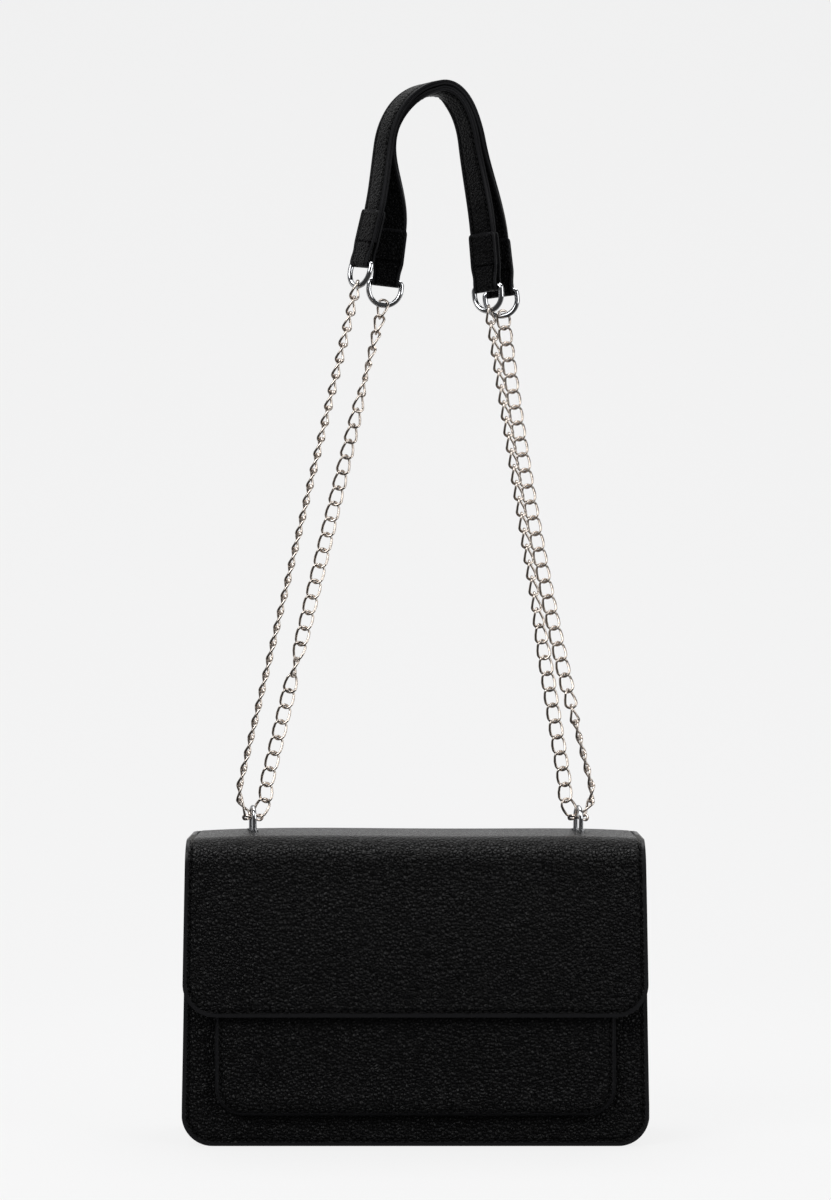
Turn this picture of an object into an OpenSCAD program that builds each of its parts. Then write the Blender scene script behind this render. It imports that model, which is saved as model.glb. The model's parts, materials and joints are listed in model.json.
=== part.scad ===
// Shoulder bag: a flat rectangular body, a front flap, a slip pocket and two padded straps on chains.
// Millimetres. +Z is up and the front faces -Y. The pieces are drawn from the middle of the bag's base, and
// each is then moved so that the origin is the top of the straps' arch, where a shoulder or a hook holds them.

/* [Bag body] */
// Width of the bag across its base
bag_w = 242.5; // [210:0.5:270]
// Width of the bag across its top edge
bag_top_w = 236.5; // [205:0.5:262]
// Height from the base to the top of the flap
bag_h = 160.5; // [140:0.5:190]
// Depth from the face of the closed flap to the back panel
bag_d = 70.8; // [64:0.2:84]
// Radius of the two bottom corners
corner_r = 16; // [10:1:26]
// Thickness of one ply of leather
leather_t = 1.6; // [1.2:0.1:2]
// Width of the seam that stands proud of the gusset
seam_w = 3.5; // [2.5:0.1:5]
// Thickness of the stiffening boards
board_t = 1; // [0.8:0.1:1.4]
// Thickness of the lining cloth
lining_t = 0.8; // [0.6:0.1:1.2]
// Distance from the top of the bag down to the open edge of the front panel, gusset and lining
mouth_drop = 11; // [9:0.5:16]

/* [Flap] */
// Distance from the flap's lower edge up to the top of the bag
flap_drop = 92.6; // [80:0.2:110]
// Radius of the flap's two lower corners
flap_corner_r = 17; // [10:1:26]
// Outer radius where the flap turns down over the front
front_bend_r = 13; // [9:1:20]
// Outer radius where the leather turns down over the back
back_bend_r = 10; // [7:1:14]
// Thickness of the flap's outer leather
flap_leather_t = 1.4; // [1:0.1:2]
// Thickness of the flap's board, which holds the magnets
flap_board_t = 1.2; // [1:0.1:2]
// Distance of the fold line of the flap in front of the bridges
fold_ahead = 8.5; // [8:0.5:12]

/* [Front pocket] */
// Width of the slip pocket
pocket_w = 207; // [180:1:214]
// Height of the pocket's lower edge above the base
pocket_low = 16; // [10:1:24]
// Height of the pocket's open edge above the base
pocket_high = 112; // [95:1:125]
// Radius of the pocket's two lower corners
pocket_corner_r = 15; // [8:1:24]
// Thickness of the pocket's front wall
pocket_wall = 2; // [1.6:0.1:2.6]
// Room inside the pocket from front to back
pocket_room = 4.4; // [4.3:0.1:6]
// Width of the pocket's stitched rim
pocket_rim = 3; // [2:0.1:5]
// Diameter of the magnets and their steel catch discs
magnet_d = 14; // [10:0.5:18]
// Distance between the two magnets
magnet_spacing = 90; // [60:1:140]

/* [Chain] */
// Diameter of the link wire
link_wire = 1.4; // [1.2:0.1:1.8]
// Outer width of a link
link_w = 8; // [7.4:0.1:8.6]
// Inner length of a link
link_inner = 8.7; // [8:0.1:9.4]
// Number of links from the left bridge to the outer strap
outer_left_links = 34; // [28:1:38]
// Number of links from the right bridge to the outer strap
outer_right_links = 32; // [28:1:38]
// Number of links from the left bridge to the inner strap
inner_left_links = 33; // [28:1:38]
// Number of links from the right bridge to the inner strap
inner_right_links = 32; // [28:1:38]

/* [Bridges] */
// Distance between the two bridges
bridge_spacing = 172; // [150:1:190]
// Distance of the bridges behind the middle of the bag
bridge_back = 9; // [4:0.5:12]
// Diameter of the bridge rod
bridge_rod = 2.4; // [2:0.1:2.8]
// Room inside a bridge from leg to leg
bridge_room = 8.8; // [8.8:0.1:10]
// Height of a bridge above the leather
bridge_rise = 13.5; // [12.6:0.1:17]
// Turn of a bridge about the vertical
bridge_turn = 12; // [0:1:14]

/* [Straps] */
// Width of a shoulder strap
strap_w = 15; // [13:0.5:15.5]
// Thickness of a strap's outer leather
strap_leather_t = 1.8; // [1.4:0.1:2.2]
// Thickness of a strap's lining
strap_lining_t = 1.3; // [1:0.1:1.6]
// Width of a D-ring from rod centre to rod centre
ring_w = 17.2; // [17.2:0.2:20]
// Diameter of the D-ring rod
ring_rod = 2.8; // [2:0.1:2.8]
// Length of a D-ring's straight legs
ring_leg = 4.2; // [4:0.1:6]
// Height of the outer strap's crown above the bag
outer_crown = 395.4; // [385:0.2:410]

/* [Hidden] */
$fn = 48;
nut_sides = 6;

// Clearances and overruns
ply_gap = 0.1;
strap_ply_gap = 0.3;
flap_gap = 0.4;
fold_gap = 0.3;
fit_gap = 0.1;
link_gap = 0.2;
over = 1;
arc_steps = 10;

// Planes of the body, from the front to the back
back_y = bag_d / 2;
flap_y = -bag_d / 2;
flap_t = flap_leather_t + flap_board_t + lining_t + 2 * ply_gap;
pocket_y = flap_y + flap_t + flap_gap;
front_y = pocket_y + pocket_wall + pocket_room;
front_inner_y = front_y + leather_t + ply_gap;
back_inner_y = back_y - leather_t - ply_gap;
board_in = seam_w + leather_t + ply_gap;
lining_in = board_in + board_t + ply_gap;
lining_front_y = front_inner_y + board_t + ply_gap;
lining_back_y = back_inner_y - board_t - ply_gap;

// Heights of the open edge and of the flap
mouth_h = bag_h - mouth_drop;
flap_low = bag_h - flap_drop;
fold_y = bridge_back - fold_ahead;
flap_board_in = 1;
magnet_in = 18;
magnet_h = flap_low + magnet_in;
catch_t = 1;

// Boards and pockets inside
board_top_drop = 3;
inner_pocket_w = 140;
inner_pocket_low = 48;
inner_pocket_high = 122;
inner_pocket_t = 0.8;
inner_pocket_r = 8;
top_board_t = 2;
top_board_in = 4;
top_board_front = 1.5;

// Bridges: the pivot is the line through the middles of the two links that hang in them
bridge_x = bridge_spacing / 2;
bridge_r = (bridge_room + bridge_rod) / 2;
bridge_centre_z = bag_h + bridge_rise - bridge_rod / 2 - bridge_r;
collar_r = 2.2;
collar_t = 0.8;
nut_across = 5;
nut_t = 1.8;
thread_tail = 0.6;
top_board_low = bag_h - leather_t - ply_gap - top_board_t;

// Chain
link_r = (link_w - link_wire) / 2;
link_h = (link_inner + link_wire) / 2 - link_r;
link_reach = link_h + link_r;
pitch = link_inner - link_gap;
pivot_z = bridge_centre_z + bridge_room / 2 - link_gap - link_wire / 2 - link_r;
hook_pull = link_r - link_wire - link_wire / 2 - link_gap;
far_wire = 2 * link_reach - link_wire / 2;
first_lean = 30;
quarter_turn = 90;

// D-rings and tabs
ring_r = ring_w / 2;
ring_corner = 2;
ring_drop = ring_leg + ring_r;
ring_hold = link_wire + ring_rod / 2 + fit_gap;
strap_t = strap_leather_t + strap_lining_t + strap_ply_gap;
tab_ply = 1;
tab_inner_r = strap_t / 2 + fit_gap;
tab_neck_w = ring_w - ring_rod - 2 * fit_gap;
tab_overhang = 0.6;
tab_band_w = strap_w + 2 * tab_overhang;
tab_neck_h = 11;
tab_h = 28;
arch_steps = 11;
crown_x = 11.4;
crown_z = bag_h + outer_crown;
crown_gap = 1.1;
round_pull = 1.66;

// The arch is drawn in at its waist, and its flat side is turned away from the front
arch_turn = 127;
waist_drop = 32.2;
waist_left = 26.6;
waist_right = 18.4;
waist_lean = 8;
turn_share = 0.34;
inner_slip = 4;

// Places of the D-rings: sideways, behind the bridges, turn, links, side of the bag, end of the turn link, tilt,
// and the angle through which the run of links bends, because one of them hangs a little slack
outer_left_x = -31;
outer_right_x = 46.5;
inner_left_x = -17.3;
inner_right_x = 38.8;
strap_apart = 7;
outer_left_turn = 128;
outer_right_turn = 168;
inner_left_turn = 178;
inner_right_turn = 144;
outer_left_tilt = 13;
outer_right_tilt = 6.5;
inner_left_tilt = 7;
inner_right_tilt = 4.5;
outer_right_bow = 8;
OUTER_LEFT = [outer_left_x, -strap_apart, outer_left_turn, outer_left_links, -1, -1, outer_left_tilt, 0];
OUTER_RIGHT = [outer_right_x, strap_apart, outer_right_turn, outer_right_links, 1, 1, outer_right_tilt,
    outer_right_bow];
INNER_LEFT = [inner_left_x, strap_apart, inner_left_turn, inner_left_links, -1, 1, inner_left_tilt, 0];
INNER_RIGHT = [inner_right_x, -strap_apart, inner_right_turn, inner_right_links, 1, -1, inner_right_tilt, 0];

// Point under the crown of the inner strap, where the straps rest
rest_point = [crown_x, bridge_back, crown_z - 2 * strap_t - crown_gap];

// Half of the bag's width at a height
function half_width(z) = bag_w / 2 + (bag_top_w - bag_w) / 2 * z / bag_h;

// Points of an arc
function arc(centre, r, from, to) =
    [for (i = [0:arc_steps])
        let (a = from + (to - from) * i / arc_steps)
        centre + r * [cos(a), sin(a)]];

function reversed(points) = [for (i = [len(points) - 1:-1:0]) points[i]];

// Outline of the bag seen from the front: open corners above, round corners below
function outline(inset, low, high, r) =
    let (x = half_width(low + r) - inset - r)
    concat([[inset - half_width(high), high]],
        arc([-x, low + r], r, 180, 270),
        arc([x, low + r], r, 270, 360),
        [[half_width(high) - inset, high]]);

function body_outline(inset, high) = outline(inset, inset, high, corner_r - inset);

// A ring between two body outlines, open at the top
function u_band(outer_in, inner_in, high) =
    concat(body_outline(outer_in, high), reversed(body_outline(inner_in, high)));

function pocket_outline(inset, high) =
    let (x = pocket_w / 2 - pocket_corner_r, r = pocket_corner_r - inset, z = pocket_low + pocket_corner_r)
    concat([[-pocket_w / 2 + inset, high]],
        arc([-x, z], r, 180, 270),
        arc([x, z], r, 270, 360),
        [[pocket_w / 2 - inset, high]]);

// Line of the flap at a depth below its face, from the fold to the lower edge
function flap_line(depth, low) =
    concat([[fold_y - fold_gap, bag_h - depth]],
        arc([flap_y + front_bend_r, bag_h - front_bend_r], front_bend_r - depth, 90, 180),
        [[flap_y + depth, low]]);

// Line of the back leather at a depth below its face, from the fold to the base
function back_line(depth) =
    concat([[fold_y + fold_gap, bag_h - depth]],
        arc([back_y - back_bend_r, bag_h - back_bend_r], back_bend_r - depth, 90, 0),
        [[back_y - depth, 0]]);

// Moves a piece from the base's frame to the frame of the straps' arch
module hung() {
    translate(-rest_point)
        children();
}

// Extrudes a front-view outline between two depths
module slab(points, y_from, y_to) {
    translate([0, y_to, 0])
        rotate([90, 0, 0])
            linear_extrude(y_to - y_from)
                polygon(points);
}

// Extrudes a side-view profile across the whole bag
module across(points) {
    translate([-bag_w / 2 - over, 0, 0])
        rotate([90, 0, 90])
            linear_extrude(bag_w + 2 * over)
                polygon(points);
}

// One layer of the flap, between two depths below its face
module flap_layer(depth, t, inset) {
    intersection() {
        across(concat(flap_line(depth, flap_low - over), reversed(flap_line(depth + t, flap_low - over))));
        slab(outline(inset, flap_low + inset, bag_h + over, flap_corner_r - inset), flap_y - over, fold_y + over);
    }
}

// Discs at the two magnet places, between two depths
module magnet_pair(d, y_from, y_to) {
    for (side = [-1, 1])
        translate([side * magnet_spacing / 2, y_to, magnet_h])
            rotate([90, 0, 0])
                cylinder(d = d, h = y_to - y_from);
}

// Something at each leg of each bridge
module at_bridge_legs() {
    for (side = [-1, 1])
        translate([side * bridge_x, bridge_back, 0])
            rotate([0, 0, bridge_turn])
                for (leg = [-1, 1])
                    translate([0, leg * bridge_r, 0])
                        children();
}

module bridge_holes() {
    at_bridge_legs()
        translate([0, 0, top_board_low - over])
            cylinder(d = bridge_rod + 2 * fit_gap, h = bag_h - top_board_low + 2 * over);
}

// Half of a round wire ring, standing in XZ above the origin
module half_ring(r, wire, angle = 180) {
    rotate([90, 0, 0])
        rotate_extrude(angle = angle)
            translate([r, 0])
                circle(d = wire);
}

module back_panel() {
    color("#1b1a1c") hung()
        difference() {
            intersection() {
                across(concat(back_line(0), reversed(back_line(leather_t))));
                slab(outline(0, 0, bag_h + over, corner_r), fold_y - over, back_y + over);
            }
            bridge_holes();
        }
}

module front_panel() {
    color("#1b1a1c") hung()
        slab(body_outline(0, mouth_h), front_y, front_y + leather_t);
}

// Strip round the sides and base, with its seam flanges turned outwards
module gusset() {
    color("#1d1c1e") hung() {
        slab(u_band(seam_w, seam_w + leather_t, mouth_h), front_inner_y, back_inner_y);
        slab(u_band(0, seam_w + leather_t, mouth_h), front_inner_y, front_inner_y + leather_t);
        slab(u_band(0, seam_w + leather_t, mouth_h), back_inner_y - leather_t, back_inner_y);
    }
}

module front_board() {
    color("#8a7f70") hung()
        slab(body_outline(board_in, mouth_h - board_top_drop), front_inner_y, front_inner_y + board_t);
}

module back_board() {
    color("#8a7f70") hung()
        slab(body_outline(board_in, mouth_h - board_top_drop), back_inner_y - board_t, back_inner_y);
}

// Board bent round the inside of the gusset
module gusset_board() {
    color("#8a7f70") hung()
        slab(u_band(board_in, board_in + board_t, mouth_h - board_top_drop),
            lining_front_y, lining_back_y);
}

module lining() {
    color("#2a2a2e") hung()
        difference() {
            slab(body_outline(lining_in, mouth_h), lining_front_y, lining_back_y);
            slab(body_outline(lining_in + lining_t, mouth_h + over),
                lining_front_y + lining_t, lining_back_y - lining_t);
        }
}

module inner_pocket() {
    color("#2a2a2e") hung()
        slab(concat([[-inner_pocket_w / 2, inner_pocket_high]],
                arc([inner_pocket_r - inner_pocket_w / 2, inner_pocket_low + inner_pocket_r],
                    inner_pocket_r, 180, 270),
                arc([inner_pocket_w / 2 - inner_pocket_r, inner_pocket_low + inner_pocket_r],
                    inner_pocket_r, 270, 360),
                [[inner_pocket_w / 2, inner_pocket_high]]),
            lining_back_y - lining_t - ply_gap - inner_pocket_t, lining_back_y - lining_t - ply_gap);
}

module pocket_panel() {
    color("#1b1a1c") hung()
        difference() {
            slab(pocket_outline(0, pocket_high), pocket_y, front_y - ply_gap);
            slab(pocket_outline(pocket_rim, pocket_high + over), pocket_y + pocket_wall, front_y + over);
            magnet_pair(magnet_d + 2 * fit_gap, pocket_y + pocket_wall - catch_t - fit_gap,
                pocket_y + pocket_wall + over);
        }
}

module pocket_catch_discs() {
    color("#9a9a9e") hung()
        magnet_pair(magnet_d, pocket_y + pocket_wall - catch_t, pocket_y + pocket_wall);
}

// Board under the fixed part of the top, which carries the bridges
module top_board() {
    color("#8a7f70") hung()
        difference() {
            translate([-bag_top_w / 2 + top_board_in, fold_y + fold_gap + top_board_front, top_board_low])
                cube([bag_top_w - 2 * top_board_in,
                    back_y - back_bend_r - fold_y - fold_gap - top_board_front, top_board_t]);
            bridge_holes();
        }
}

// Arch of round rod with a collar at the foot of each leg
module bridge(side) {
    translate([side * bridge_x, bridge_back, 0])
        rotate([0, 0, bridge_turn + 90]) {
            translate([0, 0, bridge_centre_z])
                half_ring(bridge_r, bridge_rod);
            for (leg = [-1, 1])
                translate([leg * bridge_r, 0, top_board_low - ply_gap - nut_t - thread_tail]) {
                    cylinder(d = bridge_rod, h = bridge_centre_z - top_board_low + ply_gap + nut_t + thread_tail);
                    translate([0, 0, bag_h - top_board_low + ply_gap + nut_t + thread_tail])
                        cylinder(r = collar_r, h = collar_t);
                }
        }
}

module left_bridge() {
    color("#c9cbd0") hung() bridge(-1);
}

module right_bridge() {
    color("#c9cbd0") hung() bridge(1);
}

module bridge_nuts() {
    color("#a8aab0") hung()
        at_bridge_legs()
            translate([0, 0, top_board_low - ply_gap - nut_t])
                difference() {
                    cylinder(d = nut_across / cos(180 / nut_sides), h = nut_t, $fn = nut_sides);
                    translate([0, 0, -over])
                        cylinder(d = bridge_rod + fit_gap, h = nut_t + 2 * over);
                }
}

module flap_leather() {
    color("#1b1a1c") hung() flap_layer(0, flap_leather_t, 0);
}

module flap_board() {
    color("#8a7f70") hung()
        difference() {
            flap_layer(flap_leather_t + ply_gap, flap_board_t, flap_board_in);
            magnet_pair(magnet_d + 2 * fit_gap, flap_y, flap_y + flap_t);
        }
}

module flap_lining() {
    color("#2a2a2e") hung() flap_layer(flap_leather_t + flap_board_t + 2 * ply_gap, lining_t, 0);
}

module flap_magnets() {
    color("#9a9a9e") hung()
        magnet_pair(magnet_d, flap_y + flap_leather_t + ply_gap,
            flap_y + flap_leather_t + ply_gap + flap_board_t);
}

// Oval link of round wire, standing along Z with its wide side along X
module link() {
    for (end = [0, 1])
        mirror([0, 0, end])
            translate([0, 0, link_h])
                half_ring(link_r, link_wire);
    for (side = [-1, 1])
        translate([side * link_r, 0, -link_h])
            cylinder(d = link_wire, h = 2 * link_h);
}

// Direction of the first link of a run, which leans out from the bridge
function first_line(out) = [out * sin(first_lean), 0, cos(first_lean)];

// Foot of that first link, inside the end of the turn link
function first_foot(side, out) =
    [side * bridge_x + out * link_h, bridge_back, pivot_z] + hook_pull * first_line(out);

// Foot of the third link: the second one stands straight up on the first
function run_start(side, out) =
    first_foot(side, out) + far_wire * first_line(out) + [0, 0, 2 * pitch - far_wire];

// The outer straps hang on the outer ends of the turn links, and the inner straps on the inner ends
function run_out(place) = place[5];

function run_length(place) = (place[3] - 3) * pitch + 2 * link_reach - ring_hold;

// Share of its length by which a run that bends through an angle spans its two ends
function span_share(bow) = bow == 0 ? 1 : 2 * sin(bow / 2) / (bow * PI / 180);

// Lowest point of a D-ring's centre line, at the end of its chain
function ring_point(place) =
    let (start = run_start(place[4], run_out(place)),
         span = run_length(place) * span_share(place[7]),
         dx = place[0] - start[0],
         dy = place[1])
    [place[0], bridge_back + dy, start[2] + sqrt(span ^ 2 - dx ^ 2 - dy ^ 2)];

// Direction of a run's chord, and the way in which a slack run sags from it
function run_line(place) =
    let (chord = ring_point(place) - run_start(place[4], run_out(place)))
    chord / norm(chord);

function run_sag(place) =
    let (line = run_line(place), down = line[2] * line - [0, 0, 1])
    down / norm(down);

// Angle between a run and its chord at a share of the way along it
function run_angle(place, share) = place[7] * (1 / 2 - share);

function run_way(place, share) =
    cos(run_angle(place, share)) * run_line(place) + sin(run_angle(place, share)) * run_sag(place);

function run_point(place, share) =
    let (bow = place[7], r = bow == 0 ? 0 : run_length(place) / (bow * PI / 180))
    run_start(place[4], run_out(place))
    + (bow == 0 ? share * run_length(place) * run_line(place)
        : r * (sin(bow / 2) - sin(run_angle(place, share))) * run_line(place)
            + r * (cos(run_angle(place, share)) - cos(bow / 2)) * run_sag(place));

function ring_up(place) = [-place[4] * sin(place[6]), 0, cos(place[6])];

function ring_bar(place) = ring_point(place) + ring_drop * ring_up(place);

// Nearest turn to zero that gives the same ring plane
function wrapped(turn) = turn - 180 * round(turn / 180);

module placed_link(foot, direction, turn) {
    translate(foot + link_reach * direction)
        rotate([-asin(direction[1]), atan2(direction[0], direction[2]), 0])
            rotate([0, 0, turn])
                link();
}

// A run of links from a bridge to a D-ring, with a slow twist that brings the last link square to the ring
module chain(place) {
    out = run_out(place);
    count = place[3];
    start = run_start(place[4], out);
    length = run_length(place);
    twist = quarter_turn + wrapped(place[2] - quarter_turn * (count - 1)) / (count - 1);
    color("#c4b8ac") hung() {
        placed_link(first_foot(place[4], out), first_line(out), quarter_turn);
        placed_link(start - [0, 0, pitch], [0, 0, 1], quarter_turn + twist);
        for (k = [2:count - 1])
            placed_link(run_point(place, (k - 2) * pitch / length),
                run_way(place, ((k - 2) * pitch + link_reach) / length), quarter_turn + k * twist);
    }
}

module turn_link(side) {
    color("#c4b8ac") hung()
        translate([side * bridge_x, bridge_back, pivot_z])
            rotate([0, 90, 0])
                link();
}

module left_turn_link() {
    turn_link(-1);
}

module right_turn_link() {
    turn_link(1);
}

// Moves a piece drawn about a D-ring's bar to its place
module at_bar(place) {
    translate(ring_bar(place))
        rotate([0, -place[4] * place[6], 0])
            rotate([0, 0, place[2]])
                children();
}

module ring(place) {
    color("#d0d2d6") hung()
        at_bar(place) {
            translate([ring_corner - ring_r, 0, 0])
                rotate([0, 90, 0])
                    cylinder(d = ring_rod, h = ring_w - 2 * ring_corner);
            for (side = [0, 1])
                mirror([side, 0, 0]) {
                    translate([ring_r - ring_corner, 0, -ring_corner])
                        half_ring(ring_corner, ring_rod, 90);
                    translate([ring_r, 0, -ring_leg])
                        cylinder(d = ring_rod, h = ring_leg - ring_corner);
                }
            translate([0, 0, -ring_leg])
                mirror([0, 0, 1])
                    half_ring(ring_r, ring_rod);
        }
}

// Side view of a tab: two plies joined by a bend under the bar
module tab_profile(low) {
    difference() {
        union() {
            if (low <= 0)
                circle(r = tab_inner_r + tab_ply);
            translate([-tab_inner_r - tab_ply, max(low, 0)])
                square([2 * (tab_inner_r + tab_ply), tab_h - max(low, 0)]);
        }
        circle(r = tab_inner_r);
        translate([-tab_inner_r, 0])
            square([2 * tab_inner_r, tab_h + over]);
    }
}

module tab(place) {
    color("#1b1a1c") hung()
        at_bar(place) {
            translate([-tab_neck_w / 2, 0, 0])
                rotate([90, 0, 90])
                    linear_extrude(tab_neck_w)
                        tab_profile(0);
            translate([-tab_band_w / 2, 0, 0])
                rotate([90, 0, 90])
                    linear_extrude(tab_band_w)
                        tab_profile(tab_neck_h);
        }
}

// Smooth curve from one point to another, with its direction given at both
function curve(a, from, b, to, t) =
    a * (2 * t ^ 3 - 3 * t ^ 2 + 1) + from * (t ^ 3 - 2 * t ^ 2 + t)
    + b * (3 * t ^ 2 - 2 * t ^ 3) + to * (t ^ 3 - t ^ 2);

// Where a strap passes the waist of the arch: the outer strap outside, and the inner one inside. On the left
// the inner strap has slipped back along its width
function waist_point(place, layer) =
    let (out = layer * (strap_t + crown_gap) / 2,
         slip = place[4] < 0 && layer < 0 ? inner_slip : 0)
    [place[4] < 0 ? crown_x - waist_left : crown_x + waist_right, bridge_back, crown_z - waist_drop]
    + place[4] * out * [sin(arch_turn), -cos(arch_turn), 0]
    + slip * [cos(arch_turn), sin(arch_turn), 0];

// Half of a strap's line: from the D-ring straight up through its tab, past the waist, and over to the crown
function half_strap(place, crown, layer) =
    let (up = ring_up(place),
         top = ring_bar(place) + tab_h * up,
         waist = waist_point(place, layer),
         rise = norm(waist - top),
         lean = [-place[4] * sin(waist_lean), 0, cos(waist_lean)],
         over_top = [crown[0] - waist[0], crown[1] - waist[1], 0])
    concat([ring_bar(place) + (tab_neck_h + fit_gap) * up],
        [for (i = [0:arch_steps - 1]) curve(top, rise * up, waist, rise * lean, i / arch_steps)],
        [for (i = [0:arch_steps])
            curve(waist, round_pull * (crown[2] - waist[2]) * lean, crown, round_pull * over_top,
                i / arch_steps)]);

function strap_line(left, right, crown, layer) =
    let (up = half_strap(left, crown, layer), down = half_strap(right, crown, layer))
    concat(up, [for (i = [len(down) - 2:-1:0]) down[i]]);

function eased(t) = t <= 0 ? 0 : t >= 1 ? 1 : t ^ 2 * (3 - 2 * t);

// Turn of the strap's width at a share of the way along it
function strap_turn(left, right, share) =
    arch_turn + (left[2] - arch_turn) * eased(1 - share / turn_share)
    + (right[2] - arch_turn) * eased(1 - (1 - share) / turn_share);

// A flat strip swept along a strap's line, between two heights above its middle. Its broad faces are split along
// the same diagonal, so strips that lie on each other stay clear where they twist
module strip(left, right, crown, layer, low, high) {
    line = strap_line(left, right, crown, layer);
    last = len(line) - 1;
    sections = [for (i = [0:last])
        let (along = line[min(i + 1, last)] - line[max(i - 1, 0)],
             t = along / norm(along),
             turn = strap_turn(left, right, i / last),
             flat = [cos(turn), sin(turn), 0],
             level = flat - (flat * t) * t,
             w = level / norm(level) * strap_w / 2,
             n = cross(t, level) / norm(level))
        [line[i] - w + low * n, line[i] + w + low * n, line[i] + w + high * n, line[i] - w + high * n]];
    sides = [for (i = [0:last - 1], j = [0:3], half = [0, 1])
        let (a = 4 * i + j, b = 4 * i + (j + 1) % 4)
        j == 2 ? (half == 0 ? [a, a + 4, b] : [b, a + 4, b + 4])
            : (half == 0 ? [a, b + 4, b] : [a, a + 4, b + 4])];
    polyhedron([for (s = sections, p = s) p],
        concat(sides, [[0, 1, 2], [0, 2, 3]],
            [[4 * last, 4 * last + 2, 4 * last + 1], [4 * last, 4 * last + 3, 4 * last + 2]]));
}

outer_crown_point = [crown_x, bridge_back, crown_z - strap_t / 2];
inner_crown_point = outer_crown_point - [0, 0, strap_t + crown_gap];

module strap_leather(left, right, crown, layer) {
    color("#1b1a1c") hung() strip(left, right, crown, layer, strap_t / 2 - strap_leather_t, strap_t / 2);
}

module strap_lining(left, right, crown, layer) {
    color("#232225") hung() strip(left, right, crown, layer, -strap_t / 2, strap_lining_t - strap_t / 2);
}

module outer_pad() {
    strap_leather(OUTER_LEFT, OUTER_RIGHT, outer_crown_point, 1);
}

module outer_pad_lining() {
    strap_lining(OUTER_LEFT, OUTER_RIGHT, outer_crown_point, 1);
}

module inner_pad() {
    strap_leather(INNER_LEFT, INNER_RIGHT, inner_crown_point, -1);
}

module inner_pad_lining() {
    strap_lining(INNER_LEFT, INNER_RIGHT, inner_crown_point, -1);
}

module outer_left_tab() {
    tab(OUTER_LEFT);
}

module outer_left_ring() {
    ring(OUTER_LEFT);
}

module outer_left_chain() {
    chain(OUTER_LEFT);
}

module outer_right_tab() {
    tab(OUTER_RIGHT);
}

module outer_right_ring() {
    ring(OUTER_RIGHT);
}

module outer_right_chain() {
    chain(OUTER_RIGHT);
}

module inner_left_tab() {
    tab(INNER_LEFT);
}

module inner_left_ring() {
    ring(INNER_LEFT);
}

module inner_left_chain() {
    chain(INNER_LEFT);
}

module inner_right_tab() {
    tab(INNER_RIGHT);
}

module inner_right_ring() {
    ring(INNER_RIGHT);
}

module inner_right_chain() {
    chain(INNER_RIGHT);
}

back_panel();
front_panel();
gusset();
front_board();
back_board();
gusset_board();
lining();
inner_pocket();
pocket_panel();
pocket_catch_discs();
top_board();
left_bridge();
right_bridge();
bridge_nuts();
flap_leather();
flap_board();
flap_lining();
flap_magnets();
outer_pad();
outer_pad_lining();
outer_left_tab();
outer_right_tab();
outer_left_ring();
outer_right_ring();
outer_left_chain();
outer_right_chain();
inner_pad();
inner_pad_lining();
inner_left_tab();
inner_right_tab();
inner_left_ring();
inner_right_ring();
inner_left_chain();
inner_right_chain();
left_turn_link();
right_turn_link();
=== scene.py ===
"""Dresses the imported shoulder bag: leather shells, straps, chain, stitches, metal, light and camera."""

import json
import math

import bpy
import numpy as np
from mathutils import Matrix, Vector


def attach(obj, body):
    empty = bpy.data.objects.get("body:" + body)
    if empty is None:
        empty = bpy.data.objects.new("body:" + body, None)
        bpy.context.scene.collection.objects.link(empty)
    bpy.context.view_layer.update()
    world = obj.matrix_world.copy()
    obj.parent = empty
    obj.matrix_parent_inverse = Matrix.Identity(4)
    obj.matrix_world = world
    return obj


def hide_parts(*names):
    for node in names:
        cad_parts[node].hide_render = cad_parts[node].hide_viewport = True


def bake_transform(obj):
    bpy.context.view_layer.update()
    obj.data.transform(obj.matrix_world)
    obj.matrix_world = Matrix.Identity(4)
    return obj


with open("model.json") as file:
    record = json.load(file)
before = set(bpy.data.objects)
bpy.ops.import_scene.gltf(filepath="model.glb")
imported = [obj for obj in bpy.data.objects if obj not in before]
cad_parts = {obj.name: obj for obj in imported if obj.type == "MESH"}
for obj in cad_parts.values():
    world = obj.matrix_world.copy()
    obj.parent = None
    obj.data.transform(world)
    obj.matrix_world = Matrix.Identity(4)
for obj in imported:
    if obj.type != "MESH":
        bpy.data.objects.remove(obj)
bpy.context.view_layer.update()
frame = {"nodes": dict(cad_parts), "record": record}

bl_info = {
    "name": "Shoulder Bag Dressing",
    "version": (1, 0, 0),
    "blender": (4, 5, 0),
    "location": "3D View > Sidebar > Shoulder Bag",
    "description": "Builds the leather, straps, chain and stitches of a flap shoulder bag round its fixed frame",
    "category": "Object",
}

# The sizes below are in millimetres, measured from the middle of the bag's base, as in the part's source.
MM = 0.001
ORIGIN = np.array([11.4, 9.0, 548.0])
UP = np.array([0.0, 0.0, 1.0])

# Body and flap
BAG_H = 160.5
BAG_HALF_BASE = 121.25
BAG_HALF_TOP = 118.25
BACK_Y = 35.4
FLAP_Y = -35.4
FRONT_Y = -25.0
MOUTH_H = 149.5
CORNER_R = 16.0
FLAP_LOW = 67.9
FLAP_CORNER_R = 17.0
FRONT_BEND_R = 13.0
BACK_BEND_R = 10.0
FOLD_Y = 0.5
SHELL_T = 1.6
FLAP_T = 3.6
SEAM_W = 3.5
GUSSET_T = 1.5
GUSSET_HALF_T = 0.8
GUSSET_FRONT_Y = -23.3
GUSSET_BACK_Y = 33.7
GUSSET_DRAW = 1.1
# The gusset's seam seen in section: how far out it lies, and how far behind the front or before the back
SEAM_BEND = ((3.4, 0.0), (2.2, 0.0), (1.2, 0.0), (0.35, 0.25), (-0.25, 0.9), (-GUSSET_HALF_T, 2.0))

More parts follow.
